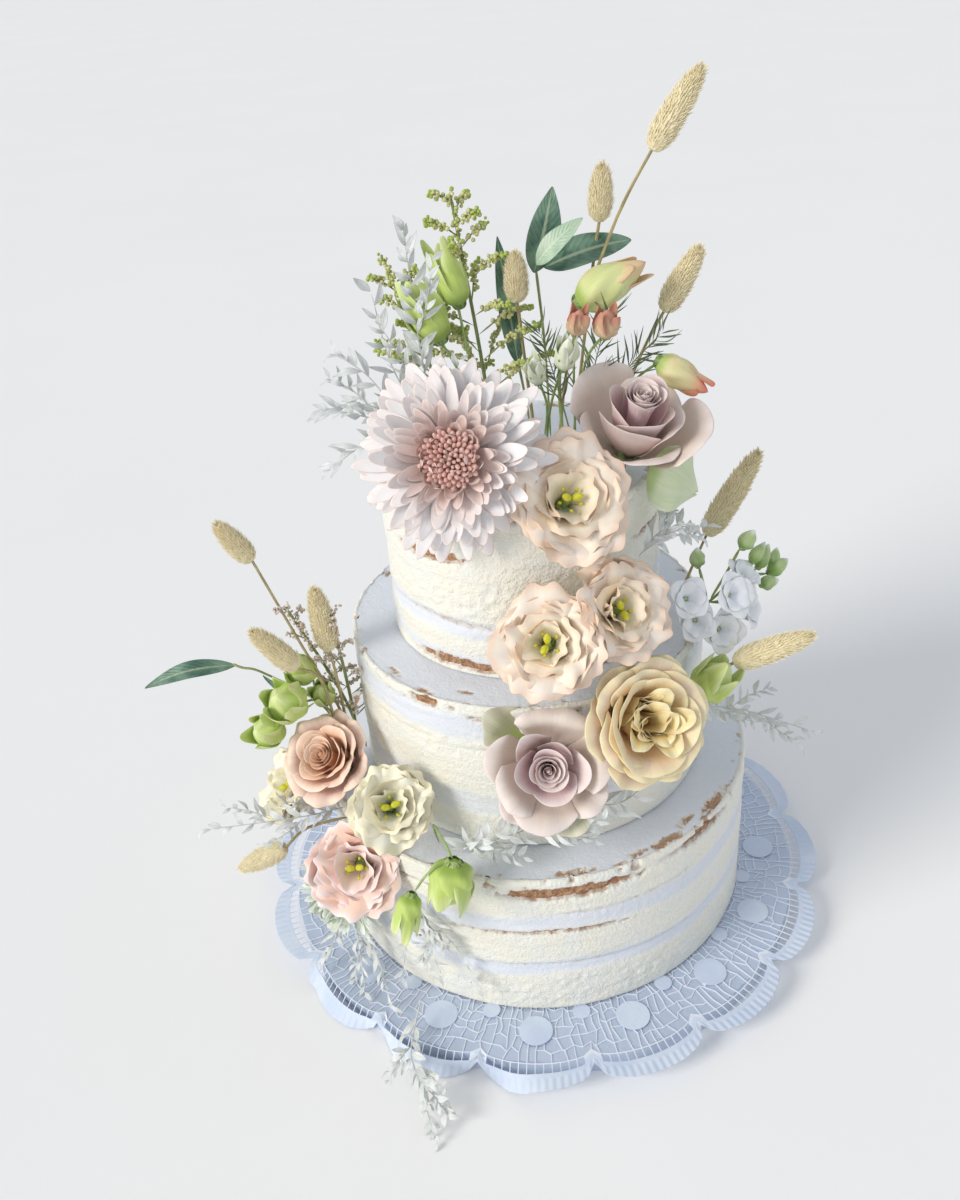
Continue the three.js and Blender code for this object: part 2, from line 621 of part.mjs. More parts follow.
// Leaves, each from its stalk to its tip, with the stem of the twig that they grow on.
const LEAVES = [
  { name: "leaf_top_upright", from: [13, 15, 388], to: [24, 22, 426], wide: 15, side: [0.2, -1, 0.2], colour: "leaf",
    route: [[14, 15.4, 392], [17, 15, 350], [18, 10, 299]] },
  { name: "leaf_top_right", from: [19, 12, 392], to: [60, 22, 399], wide: 15, side: [0.1, -0.6, 0.8], colour: "leaf" },
  { name: "leaf_top_pale", from: [15, 4, 396], to: [36, 2, 415], wide: 9, side: [-0.5, -0.8, 0.3], colour: "lime" },
  { name: "leaf_top_dark", from: [3, 17, 340], to: [-4, 16, 407], wide: 10, side: [0, -1, 0.1], colour: "leaf",
    route: [[2, 17, 348], [6, 16, 320], [8, 14, 299]] },
  { name: "petal_top_green", from: [60, -48, 308], to: [86, -36, 287], wide: 30, side: [0.4, -0.8, 0.3],
    colour: "palegreen", rows: 5 },
  { name: "leaf_left_long", from: [-160, -42, 202], to: [-211, -48, 194], wide: 11, side: [0, -0.5, 0.9], arch: 7,
    colour: "leaf", route: [[-162, -42, 203], [-157, -42, 200], [-146, -40, 194], [-118, -30, 160], [-110, -24, 114]] },
  { name: "leaf_front_small", from: [-3, -104, 160], to: [0, -122, 143], wide: 11, side: [0, -0.7, 0.7], colour: "lime" },
];
for (const { name, colour, route, ...shape } of LEAVES) {
  const blades = route ? [leaf(shape), stem(route)] : [leaf(shape)];
  fit(name, COLOURS[colour], joined(blades));
}

// Buds with their own stems.
const BUDS = [
  { name: "bud_top_large", colour: "bud", buds: [{ from: [32, 2, 375], to: [67, 0, 394], wide: 20 }],
    stems: [[[36, 2, 377], [24, 4, 345], [24, -2, 299]]] },
  { name: "buds_top_pink", colour: "peach",
    buds: [{ from: [31, -18, 366], to: [33, -22, 380], wide: 9 }, { from: [45, -18, 364], to: [46, -22, 379], wide: 11 }],
    stems: [[[31, -18, 368], [30, -10, 345], [30, -8, 299]], [[45, -18, 366], [36, -10, 350], [31, -9, 320]]] },
  { name: "bud_top_side", colour: "peach", buds: [{ from: [70, -14, 350], to: [95, -22, 334], wide: 15 }],
    stems: [[[72, -14, 349], [60, 4, 330], [50, 6, 299]]] },
  { name: "buds_top_pale", colour: "white",
    buds: [{ from: [24, -26, 352], to: [27, -32, 370], wide: 9 }, { from: [12, -26, 346], to: [10, -32, 362], wide: 8 }],
    stems: [[[24, -26, 354], [18, -14, 330], [14, -10, 299]], [[12, -26, 348], [16, -16, 330], [14, -11, 310]]] },
  { name: "buds_top_lime", colour: "lime",
    buds: [{ from: [-36, 2, 362], to: [-48, 4, 389], wide: 14 }, { from: [-26, 6, 380], to: [-33, 8, 403], wide: 13 }],
    stems: [[[-37, 2, 364], [-26, 2, 340], [-18, 2, 299]], [[-26, 6, 382], [-22, 4, 350], [-19, 2, 310]]] },
  { name: "bud_right_green", colour: "lime", buds: [{ from: [86, -68, 184], to: [104, -66, 202], wide: 21 }],
    stems: [[[88, -68, 186], [82, -64, 176]]] },
  { name: "buds_left_lime", colour: "lime",
    buds: [
      { from: [-130, -49, 176], to: [-136, -64, 196], wide: 22 },
      { from: [-142, -48, 161], to: [-152, -62, 171], wide: 19 },
      { from: [-122, -32, 186], to: [-130, -46, 204], wide: 16 },
      { from: [-116, -34, 170], to: [-116, -46, 186], wide: 13 },
    ],
    stems: [
      [[-131, -51, 178], [-122, -30, 166], [-112, -22, 140], [-108, -20, 114]],
      [[-143, -50, 162], [-134, -34, 160], [-122, -30, 166]],
      [[-122, -32, 188], [-122, -30, 166]],
      [[-116, -34, 172], [-122, -30, 166]],
    ] },
  { name: "buds_hanging_lime", colour: "lime",
    buds: [
      { from: [-44, -130, 136], to: [-49, -136, 109], wide: 22 },
      { from: [-67, -134, 118], to: [-73, -142, 95], wide: 13 },
    ],
    stems: [[[-44, -130, 134], [-50, -120, 142], [-56, -102, 134], [-54, -98, 115]],
      [[-67, -134, 116], [-60, -134, 128], [-52, -133, 136], [-44, -130, 134]]] },
];
for (const { name, colour, ...shape } of BUDS) fit(name, COLOURS[colour], budded(shape));

// Plumes of small grains: goldenrod on the top, dried astilbe on the left.
const PLUMES = [
  { name: "spray_top", colour: "spray", route: [[-12, 12, 299], [-16, 10, 350], [-25, 10, 431]], twigs: 6, long: 33 },
  { name: "spray_top_left", colour: "spray", route: [[-30, 14, 299], [-44, 12, 350], [-58, 8, 396]], twigs: 5, long: 26 },
  { name: "spray_left_outer", colour: "straw", twigs: 5, long: 28,
    route: [[-102, -10, 114], [-110, -24, 170], [-127, -44, 240]] },
  { name: "spray_left_inner", colour: "straw", twigs: 5, long: 22,
    route: [[-106, -12, 114], [-103, -30, 170], [-104, -42, 232]] },
];
for (const { name, colour, ...shape } of PLUMES) {
  fit(name, COLOURS[colour], plume(shape));
}

// Twigs with small leaves: bleached ruscus on the ledges and fine needles behind the top rose.
const SPRIGS = [
  { name: "ruscus_top_high", route: [[-34, -10, 299], [-44, -8, 350], [-48, 0, 418]], leaves: 9, long: 24, wide: 8,
    side: [0, -1, 0.2], colour: "bleached" },
  { name: "ruscus_top_left", route: [[-40, -30, 299], [-62, -24, 335], [-96, -20, 338]], leaves: 7, long: 20, wide: 7,
    side: [0, -0.6, 0.8], colour: "bleached" },
  { name: "needles_top", route: [[40, 0, 299], [48, 0, 330], [72, 10, 352]], leaves: 9, long: 16, wide: 2,
    side: [0, -1, 0.2], colour: "needle" },
  { name: "ruscus_right_upper", route: [[56, -56, 262], [70, -52, 276], [94, -34, 266]], leaves: 7, long: 15, wide: 6,
    side: [0, -0.6, 0.8], colour: "bleached" },
  { name: "ruscus_right_lower", route: [[86, -55, 166], [112, -50, 160], [156, -46, 138]], leaves: 8, long: 16, wide: 6,
    side: [0, -0.6, 0.8], colour: "bleached" },
  { name: "ruscus_left", route: [[-108, -62, 114], [-134, -76, 120], [-182, -84, 122]], leaves: 8, long: 16, wide: 6,
    side: [0, -0.6, 0.8], colour: "bleached" },
  { name: "ruscus_ledge", route: [[-50, -104, 117], [-14, -110, 132], [28, -108, 150]], leaves: 9, long: 17, wide: 7,
    side: [0, -0.9, 0.4], colour: "bleached" },
  { name: "sprig_hanging_front", route: [[-70, -112, 92], [-64, -117, 74], [-60, -124, 42]], leaves: 7, long: 13, wide: 4,
    side: [-0.4, -0.9, 0], colour: "white" },
  { name: "sprig_hanging_left", route: [[-112, -84, 60], [-110, -88, 36], [-106, -112, 15]], leaves: 7, long: 13, wide: 4,
    side: [-0.6, -0.7, 0.3], colour: "white" },
  { name: "sprig_trailing", route: [[-70, -122, 30], [-77, -150, 17], [-73, -167, 14], [-64, -178, 9], [-53, -194, 5]],
    leaves: 10, long: 13, wide: 5, side: [-0.3, -0.4, 0.8], colour: "white" },
];
for (const { name, colour, ...shape } of SPRIGS) fit(name, COLOURS[colour], sprig(shape));

export default group;
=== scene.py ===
# %% [markdown]
# # A tiered wedding cake with flowers
# This lesson builds the looks of a semi-naked wedding cake round a frame of plain solids. The frame gives
# every piece its real size and place. Each cell adds one thing: a finish, a petal, a flower, a grass.
# The order is: the camera and the light, the way finishes are written, the board and its paper, the tiers,
# and then the flowers from the largest to the finest.

# %% Load the frame
import math
import random

import bmesh
import bpy
from mathutils import Matrix, Vector, noise


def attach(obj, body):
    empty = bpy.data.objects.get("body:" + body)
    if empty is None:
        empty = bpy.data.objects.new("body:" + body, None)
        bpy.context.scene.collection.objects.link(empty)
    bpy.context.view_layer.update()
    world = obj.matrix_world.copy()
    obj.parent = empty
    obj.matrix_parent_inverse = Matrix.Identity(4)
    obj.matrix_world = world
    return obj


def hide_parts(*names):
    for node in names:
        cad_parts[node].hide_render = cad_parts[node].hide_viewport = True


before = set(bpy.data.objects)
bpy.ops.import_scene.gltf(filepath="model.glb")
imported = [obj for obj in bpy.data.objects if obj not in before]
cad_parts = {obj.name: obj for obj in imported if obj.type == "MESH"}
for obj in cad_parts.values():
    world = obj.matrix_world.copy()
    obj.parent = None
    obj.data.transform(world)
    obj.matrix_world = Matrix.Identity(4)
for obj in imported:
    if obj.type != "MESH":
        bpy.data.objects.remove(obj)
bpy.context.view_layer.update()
MM = 0.001
# Blender's noise vectors start from the clock, so a fixed seed is what gives the same cake each time.
noise.seed_set(5)
print("nodes in the frame:", len(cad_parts))

# %% [markdown]
# ## Camera
# The camera stands where the photographer stood: above the cake, looking down by about 32 degrees, with the
# phone turned a little. A matrix holds that place directly, which is simpler than aiming at a target.

# %% Camera
CAMERA_AT = Vector((0.0, -0.5411, 0.5465))
CAMERA_RIGHT = Vector((0.99751, 0.00443, -0.07036))
CAMERA_UP = Vector((0.05728, 0.53089, 0.84550))
LENS_MM = 33.63


def add_camera():
    data = bpy.data.cameras.new("camera")
    data.sensor_width = 36.0
    data.lens = LENS_MM
    camera = bpy.data.objects.new("camera", data)
    right = CAMERA_RIGHT.normalized()
    back = right.cross(CAMERA_UP).normalized()
    up = back.cross(right)
    turn = Matrix((right, up, back)).transposed().to_4x4()
    camera.matrix_world = Matrix.Translation(CAMERA_AT) @ turn
    bpy.context.collection.objects.link(camera)
    bpy.context.scene.camera = camera


add_camera()

# %% [markdown]
# ## Light and floor
# The cake stood in soft daylight from a window at the left, and its right side is cool and dim. A soft
# sun stands for the window, because it is equally bright all over the floor. A weak lamp fills the right,
# and the world gives an even pale glow. The colours of buttercream are close to white, so the plain
# Standard view keeps them from turning grey.

# %% Light and floor
bpy.context.scene.view_settings.view_transform = "Standard"
SKY = (0.88, 0.93, 1.0)
SKY_STRENGTH = 0.6
WINDOW = {"at": (-1.5, -1.0, 1.15), "strength": 2.05, "soft_degrees": 26.0, "colour": (1.0, 0.965, 0.91)}
FILL = {"at": (1.3, -0.5, 0.9), "size": 1.2, "watts": 0.8, "colour": (0.72, 0.82, 1.0)}
LOOK_AT = Vector((0.0, 0.0, 0.2))
FLOOR_RADIUS = 40.0


def add_light(name, kind, at, colour):
    data = bpy.data.lights.new(name, kind)
    data.color = colour
    light = bpy.data.objects.new(name, data)
    light.location = at
    light.rotation_euler = (LOOK_AT - Vector(at)).to_track_quat("-Z", "Y").to_euler()
    bpy.context.collection.objects.link(light)
    return data


def add_window():
    light = add_light("window", "SUN", WINDOW["at"], WINDOW["colour"])
    light.energy = WINDOW["strength"]
    light.angle = math.radians(WINDOW["soft_degrees"])


def add_fill():
    light = add_light("fill", "AREA", FILL["at"], FILL["colour"])
    light.shape = "DISK"
    light.size = FILL["size"]
    light.energy = FILL["watts"]


def add_floor():
    bm = bmesh.new()
    bmesh.ops.create_circle(bm, cap_ends=True, segments=96, radius=FLOOR_RADIUS)
    mesh = bpy.data.meshes.new("floor")
    bm.to_mesh(mesh)
    bm.free()
    floor = bpy.data.objects.new("floor", mesh)
    bpy.context.collection.objects.link(floor)
    return floor


world = bpy.data.worlds.new("sky")
world.use_nodes = True
world.node_tree.nodes["Background"].inputs["Color"].default_value = (*SKY, 1.0)
world.node_tree.nodes["Background"].inputs["Strength"].default_value = SKY_STRENGTH
bpy.context.scene.world = world
add_window()
add_fill()
floor = add_floor()

# %% [markdown]
# ## Writing finishes as expressions
# A finish is a node tree. Written link by link it is hard to read, so a small class wraps a socket and
# makes Math nodes when it is added or multiplied. All other nodes come from one method, `node`.


# %% Sockets and finishes
NOISE_ROUGHNESS = 0.55
GAMMA = 2.2


class Wire:
    """A node's output, which grows Math nodes when it is used in arithmetic."""

    def __init__(self, finish, output):
        self.finish = finish
        self.output = output

    def math(self, operation, first, second=0.0):
        return self.finish.node("ShaderNodeMath", {"operation": operation}, {0: first, 1: second})

    def __add__(self, other):
        return self.math("ADD", self, other)

    def __sub__(self, other):
        return self.math("SUBTRACT", self, other)

    def __rsub__(self, other):
        return self.math("SUBTRACT", other, self)

    def __mul__(self, other):
        return self.math("MULTIPLY", self, other)

    def __abs__(self):
        return self.math("ABSOLUTE", self)

    def rise(self, low, high):
        """0 below low, 1 above high, and a smooth step between them."""
        inputs = {"Value": self, "From Min": low, "From Max": high}
        return self.finish.node("ShaderNodeMapRange", {"interpolation_type": "SMOOTHSTEP"}, inputs)


class Finish:
    """A Principled material whose varying inputs are written as expressions."""

    def __init__(self, name, roughness=0.6, **constants):
        self.material = bpy.data.materials.new(name)
        self.material.use_nodes = True
        tree = self.material.node_tree
        self.nodes, self.links = tree.nodes, tree.links
        self.shader = tree.nodes["Principled BSDF"]
        self.shader.inputs["Roughness"].default_value = roughness
        for key, value in constants.items():
            self.shader.inputs[key.replace("_", " ").title()].default_value = value

    def node(self, kind, settings, inputs, output=0):
        node = self.nodes.new(kind)
        for key, value in settings.items():
            if key == "stops":
                ramp = node.color_ramp
                while len(ramp.elements) < len(value):
                    ramp.elements.new(1.0)
                for element, (place, colour) in zip(ramp.elements, value):
                    element.position = place
                    element.color = (*colour, 1.0)
            else:
                setattr(node, key, value)
        for key, value in inputs.items():
            self.feed(node.inputs[key], value)
        return Wire(self, node.outputs[output])

    def feed(self, socket, value):
        if isinstance(value, Wire):
            self.links.new(value.output, socket)
        elif isinstance(value, tuple) and socket.type == "RGBA":
            socket.default_value = (*value, 1.0)
        else:
            socket.default_value = value

    def mix(self, amount, first, second, blend="MIX"):
        settings = {"data_type": "RGBA", "blend_type": blend}
        return self.node("ShaderNodeMix", settings, {0: amount, 6: first, 7: second}, 2)

    def ramp(self, amount, *stops):
        return self.node("ShaderNodeValToRGB", {"stops": stops}, {0: amount})

    def attribute(self, name):
        return self.node("ShaderNodeAttribute", {"attribute_name": name}, {}, 2)

    def place(self):
        return self.node("ShaderNodeTexCoord", {}, {}, "Object")

    def noise(self, size_mm, detail=3.0):
        inputs = {"Vector": self.place(), "Scale": 1000.0 / size_mm, "Detail": detail,
                  "Roughness": NOISE_ROUGHNESS}
        return self.node("ShaderNodeTexNoise", {}, inputs)

    def colour(self, value):
        self.feed(self.shader.inputs["Base Color"], value)
        return self

    def vary(self, name, value):
        self.feed(self.shader.inputs[name], value)
        return self

    def bump(self, height, distance_mm, strength=1.0):
        inputs = {"Height": height, "Distance": distance_mm * MM, "Strength": strength}
        return self.vary("Normal", self.node("ShaderNodeBump", {}, inputs))


def tint(red, green, blue):
    """A screen colour, 0 to 255, as the linear light that shaders use."""
    return tuple((part / 255) ** GAMMA for part in (red, green, blue))


floor_finish = Finish("floor_paper", 0.9)
floor_finish.colour(floor_finish.mix(floor_finish.noise(400), tint(250, 248, 246), tint(254, 253, 252)))
floor.data.materials.append(floor_finish.material)
print("materials so far:", len(bpy.data.materials))

# %% [markdown]
# ## Growing sheets
# Petals, leaves and stems are all thin sheets. Each one starts as a flat grid, and a function then moves
# every point to its place on the bloom. The grid's own coordinates are kept as the attributes `across`
# and `along`, and `tone` says which petal it is, so that a finish can follow the petal from its foot to
# its rim.


# %% The class that grows a bloom
WELD_MM = 0.003
LOOSE_WELD_MM = 0.02
# A way that no stem takes, from which the sides of a stem are worked out.
ASIDE = Vector((0.31, 0.2, 0.93))
# A stem closes to a point within one sixtieth of its length.
STEM_END = 60


class Bloom:
    """A mesh that sheets, tubes and small grains are added to."""

    def __init__(self):
        self.mesh = bmesh.new()
        layers = self.mesh.verts.layers.float
        self.across, self.along, self.tone = [layers.new(name) for name in ("across", "along", "tone")]

    def paint(self, verts, tone, finish):
        for vert in verts:
            vert[self.tone] = tone
        for face in faces_of(verts):
            face.material_index = finish
            face.smooth = True

    def sheet(self, columns, rows, shape, tone=0.0, finish=0):
        """A grid whose points go to shape(across -1 to 1, along 0 to 1), in millimetres."""
        verts = bmesh.ops.create_grid(self.mesh, x_segments=columns, y_segments=rows, size=1.0)["verts"]
        self.paint(verts, tone, finish)
        for vert in verts:
            across, along = vert.co.x, (vert.co.y + 1) / 2
            vert[self.across], vert[self.along] = across, along
            vert.co = shape(across, along) * MM
        return verts

    def petal(self, columns, rows, shape, tone=0.0, finish=0, thick=0.35):
        """A sheet with a thickness in millimetres."""
        verts = self.sheet(columns, rows, shape, tone, finish)
        bmesh.ops.solidify(self.mesh, geom=faces_of(verts), thickness=thick * MM)

    def tube(self, route, radius, tone=0.0, finish=0, columns=6, step=5.0, taper=0.7):
        """A stem along a smooth line through the points of a route, closed at both ends."""
        line = smooth_line([Vector(point) for point in route])
        count = max(5, int(line_length(line) / step))

        def shape(across, along):
            point, forward = line_at(line, along)
            side = forward.cross(ASIDE).normalized()
            end = min(1.0, STEM_END * along, STEM_END * (1 - along))
            reach = radius * end * (1 - (1 - taper) * along)
            turn = math.pi * across
            return point + reach * (math.cos(turn) * side + math.sin(turn) * side.cross(forward))

        verts = self.sheet(columns, count, shape, tone, finish)
        bmesh.ops.remove_doubles(self.mesh, verts=verts, dist=WELD_MM * MM)

    def grain(self, at, radius, tone=0.0, finish=0, stretch=1.0, faces=(0, 0, 1)):
        """A small round grain, longer along the way it faces if it is stretched."""
        size = Matrix.Diagonal((1.0, 1.0, stretch, 1.0))
        made = bmesh.ops.create_icosphere(
            self.mesh, subdivisions=1, radius=radius * MM, matrix=facing(at, faces) @ size
        )
        self.paint(made["verts"], tone, finish)

    def closed(self, columns, rows, radius_at, base, tip, tone=0.0, finish=0):
        """A body round the line from base to tip, whose radius is radius_at(turn, along)."""
        place = facing(base, Vector(tip) - Vector(base))
        long = (Vector(tip) - Vector(base)).length

        def shape(across, along):
            turn = math.pi * across
            reach = radius_at(turn, along)
            spot = Vector((reach * math.cos(turn), reach * math.sin(turn), long * along)) * MM
            return (place @ spot) / MM

        verts = self.sheet(columns, rows, shape, tone, finish)
        bmesh.ops.remove_doubles(self.mesh, verts=verts, dist=WELD_MM * MM)
        return [vert for vert in verts if vert.is_valid]

    def place(self, matrix):
        bmesh.ops.transform(self.mesh, matrix=matrix, verts=self.mesh.verts)

    def finish(self, name, slot, finishes, smooth_levels=0):
        """Turns the mesh into a piece that rides on the cake and stands for the node of that name."""
        mesh = bpy.data.meshes.new(name)
        self.mesh.to_mesh(mesh)
        self.mesh.free()
        for finish in finishes:
            mesh.materials.append(finish.material)
        piece = bpy.data.objects.new("dressed_" + name, mesh)
        bpy.context.collection.objects.link(piece)
        if smooth_levels:
            smooth = piece.modifiers.new("smooth", "SUBSURF")
            smooth.levels = smooth.render_levels = smooth_levels
        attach(piece, "root")
        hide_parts(name)
        print(name, len(mesh.polygons) * 4**smooth_levels, "faces")
        return piece


def faces_of(verts):
    """The faces round some points, each one once and always in the same order."""
    return list(dict.fromkeys(face for vert in verts for face in vert.link_faces))


def middle_of(face):
    """The middle of a face, by which a list of faces can be put in an order that is always the same."""
    middle = sum((vert.co for vert in face.verts), Vector()) / len(face.verts)
    return tuple(round(part, 7) for part in middle)


def smooth_line(points, steps=8):
    """A Catmull-Rom line through the points."""
    ends = [2 * points[0] - points[1], *points, 2 * points[-1] - points[-2]]
    line = []
    for a, b, c, d in zip(ends, ends[1:], ends[2:], ends[3:]):
        for step in range(steps):
            t = step / steps
            slope, curve, twist = c - a, 2 * a - 5 * b + 4 * c - d, 3 * b - a - 3 * c + d
            line.append(b + 0.5 * (slope * t + curve * t**2 + twist * t**3))
    return [*line, points[-1]]


def line_length(line):
    return sum((b - a).length for a, b in zip(line, line[1:]))


def line_at(line, share):
    """The point at a share of the line, and the way that the line goes there."""
    step = min(max(share, 0.0), 1.0) * (len(line) - 1)
    index = min(int(step), len(line) - 2)
    a, b = line[index], line[index + 1]
    return a.lerp(b, step - index), (b - a).normalized()


def facing(at, faces, roll=0.0):
    """The place of a flower, in metres: its face's middle, the way it looks and its turn in degrees."""
    turn = Vector((0, 0, 1)).rotation_difference(Vector(faces)).to_matrix().to_4x4()
    return Matrix.Translation(Vector(at) * MM) @ turn @ Matrix.Rotation(math.radians(roll), 4, "Z")


def smoothstep(value, low, high):
    share = min(max((value - low) / (high - low), 0.0), 1.0)
    return share * share * (3 - 2 * share)


# %% [markdown]
# ## One petal
# A petal stands on the flower's axis. Its line says how far it reaches from the axis and how high it
# stands, from its foot to its rim. Its width follows its own curve, and the corners of the rim are
# rounded off. Ruffles grow towards the rim, because a real petal has more edge than it has room for.


# %% The petal's shape
LINE_STEPS = 24


def petal_line(foot, rim, lean, bend, flip=0.0):
    """Points (reach, height) from foot to rim. The line starts at `lean` degrees from the axis and bends on
    by `bend`, and its last part turns by another `flip`."""
    reach, height = 0.0, 0.0
    points = []
    for k in range(LINE_STEPS + 1):
        points.append(Vector((reach, height)))
        v = k / LINE_STEPS
        angle = math.radians(lean + bend * v + flip * smoothstep(v, 0.6, 1.0))
        reach += math.sin(angle)
        height += math.cos(angle)
    widest = max(max(point.x for point in points), 0.01)
    tallest = max(max(point.y for point in points), 0.01)
    scale = Vector(((rim[0] - foot[0]) / widest, (rim[1] - foot[1]) / tallest))
    return [Vector(foot) + point * scale for point in points]


def petal_shape(azimuth, line, width, bend, rounding=0.3, tip=0.0, ruffle=0.0, waves=2.5, frill=0.0, roll=0.0,
                swirl=0.0, narrow=0.3, fullest=0.7, phase=0.0, hug=None, centre=(0, 0), point=2.4):
    """Returns shape(across, along) in millimetres. `width` is half the petal's width, and `bend` the radius
    that its cross section is curved to. With `hug`, both follow the petal's distance from the axis."""
    spoke = Vector((math.cos(math.radians(azimuth)), math.sin(math.radians(azimuth)), 0))
    side = Vector((-spoke.y, spoke.x, 0))
    middle = Vector((*centre, 0))

    def shape(across, along):
        edge = abs(across)
        v = along * (1 - rounding * edge**point) + tip * along**3 * (1 - edge) ** 2
        v -= 0.03 * frill * along**6 * (1 + math.sin(11 * waves * across + 2 * phase))
        step = min(max(v, 0.0), 1.0) * LINE_STEPS
        index = min(int(step), LINE_STEPS - 1)
        spot = line[index].lerp(line[index + 1], step - index)
        way = (line[index + 1] - line[index]).normalized()
        if hug:
            curve = max(1.0, hug * spot.x)
            turn = across * width / hug * (0.75 + 0.25 * smoothstep(along, 0.0, 0.5))
        else:
            curve = bend
            full = narrow + (1 - narrow) * math.sin(math.pi / 2 * min(1.0, along / fullest))
            turn = across * width * full / bend
        wave = math.sin(waves * math.pi * across + phase)
        wave += 0.45 * math.sin(2.3 * waves * math.pi * across + 3 * phase)
        fine = math.sin(7.3 * waves * across + 5 * phase) * along**5
        push = ruffle * along**2.5 * wave + frill * fine + roll * edge**3 * along**2
        reach = spot.x * (1 + swirl * across) - curve * (1 - math.cos(turn)) + push * way.y
        height = Vector((0, 0, spot.y - push * way.x))
        return middle + spoke * reach + side * (curve * math.sin(turn)) + height

    return shape


def placed(shape, place):
    """The same shape on a flower that stands at a place of its own."""
    return lambda across, along: (place @ (shape(across, along) * MM)) / MM


def petal_finish(name, heart, middle, edge, outer=None, heart_until=0.25, vein=0.25, rim=0.75, pale_from=0.45,
                 roughness=0.55):
    """A petal's colours: its heart at the foot, its middle, its rim, and how its outer petals differ."""
    skin = Finish(name, roughness, sheen_weight=0.15)
    along, across, tone = (skin.attribute(key) for key in ("along", "across", "tone"))
    body = skin.mix(along.rise(heart_until * 0.4, heart_until), heart, middle)
    if outer:
        body = skin.mix(tone.rise(pale_from, pale_from + 0.45), body, outer)
    near_rim = (along.rise(rim, 1.0) + abs(across).rise(0.8, 1.05) * 0.4) * 0.9
    body = skin.mix(near_rim, body, edge)
    fan = skin.node("ShaderNodeCombineXYZ", {}, {"X": across * 9.0, "Y": along * 1.2, "Z": tone * 37.0})
    lines = skin.node("ShaderNodeTexNoise", {}, {"Vector": fan, "Scale": 1.6, "Detail": 3.0})
    blotch = skin.noise(9.0, 2.0)
    body = skin.mix(lines.rise(0.35, 0.75) * vein, body, skin.mix(1.0, body, middle, "MULTIPLY"))
    body = skin.mix(blotch.rise(0.4, 0.8) * 0.12, body, heart)
    return skin.colour(body).bump(lines, 0.25, 0.6)


MAUVE = petal_finish("mauve_petal", tint(192, 148, 148), tint(222, 194, 196), tint(244, 230, 224),
                     tint(228, 214, 200), heart_until=0.7, rim=0.8, vein=0.08)
GUARD = petal_finish("guard_petal", tint(164, 186, 110), tint(206, 208, 172), tint(226, 220, 200),
                     heart_until=0.7)
CREAM = petal_finish("cream_petal", tint(238, 172, 104), tint(248, 226, 166), tint(252, 240, 196),
                     tint(244, 220, 196), heart_until=0.6, rim=0.85)
PEACH = petal_finish("peach_petal", tint(244, 160, 112), tint(252, 204, 164), tint(253, 230, 210),
                     tint(248, 222, 212))
BLUSH = petal_finish("blush_petal", tint(158, 116, 56), tint(253, 241, 218), tint(250, 220, 196),
                     tint(252, 240, 226), heart_until=0.36, rim=0.84)
IVORY = petal_finish("ivory_petal", tint(150, 150, 74), tint(251, 248, 230), tint(252, 242, 210),
                     tint(248, 246, 234))
PINK = petal_finish("pink_petal", tint(240, 190, 136), tint(252, 228, 220), tint(251, 236, 236),
                    tint(250, 212, 194), rim=0.85)
MUM = petal_finish("mum_petal", tint(222, 176, 164), tint(240, 214, 204), tint(252, 240, 234),
                   tint(248, 247, 248), heart_until=0.45, rim=0.8, pale_from=0.2, vein=0.1)
PALE_GREEN = petal_finish("pale_green_petal", tint(180, 200, 160), tint(228, 236, 220), tint(242, 246, 240))
WHITE = petal_finish("white_petal", tint(170, 190, 110), tint(246, 248, 252), tint(252, 253, 255))
ROUND_LEAF = petal_finish("round_green_petal", tint(172, 190, 130), tint(210, 220, 184), tint(236, 236, 210))
print("petal finishes ready")

# %% [markdown]
# ## Board and sponge
# The board is a plain foil-covered drum, and the three sponge layers are whole cakes under their icing.
# Their frame solids already have the right shape, so they stay and only get a finish: embossed foil for
# the board, and a brown crumb full of small pores for the sponge, which shows where the icing is scraped
# thin.


# %% Board and sponge
def dress(node, finish):
    """Gives a frame node its finish and leaves its mesh as it is."""
    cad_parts[node].material_slots[0].material = finish.material


foil = Finish("silver_foil", 0.34, metallic=0.2)
leaf_pattern = foil.node("ShaderNodeTexVoronoi", {"feature": "DISTANCE_TO_EDGE"},
                         {"Vector": foil.place(), "Scale": 170.0})
# The silver foil is painted a darker, cooler blue than it is, with a little random tone: painted shade under
# the paper doily, seen through its openings.
foil.colour(foil.mix(foil.noise(30), tint(184, 198, 221), tint(202, 214, 232))).bump(leaf_pattern, 0.4, 0.7)
dress("board", foil)

crumb = Finish("sponge_crumb", 0.85)
pores = crumb.node("ShaderNodeTexVoronoi", {"feature": "F1"}, {"Vector": crumb.place(), "Scale": 620.0})
grain = crumb.noise(3.0, 5.0)
baked = crumb.ramp(grain, (0.3, tint(140, 100, 74)), (0.5, tint(172, 130, 98)), (0.72, tint(206, 170, 136)))
crumb.colour(crumb.mix(pores.rise(0.5, 0.9) * 0.5, baked, tint(112, 74, 54)))
crumb.bump(grain * 1.4 + pores, 0.8, 0.9)
for tier in ("bottom", "middle", "top"):
    dress(f"sponge_{tier}", crumb)
print("dressed the board and the sponges")

# %% [markdown]
# ## Buttercream
# Each tier is coated thinly with a palette knife while it turns on a stand. That leaves level bands,
# lumps where the cream dragged, and places where the knife reached the sponge. A coat is one closed sheet
# wrapped round the tier, about 1.3 mm from point to point. Noise that is stretched round the tier makes
# the bands, and a list of marks gives the scrapes that the cake really has.

# %% Buttercream: the tiers and their marks
TIERS = {
    "bottom": {"radius": 127.0, "foot": 13.1, "top": 113.0, "covered": 96.0},
    "middle": {"radius": 100.0, "foot": 113.1, "top": 205.0, "covered": 71.0},
    "top": {"radius": 75.0, "foot": 205.1, "top": 298.0, "covered": 4.0},
}
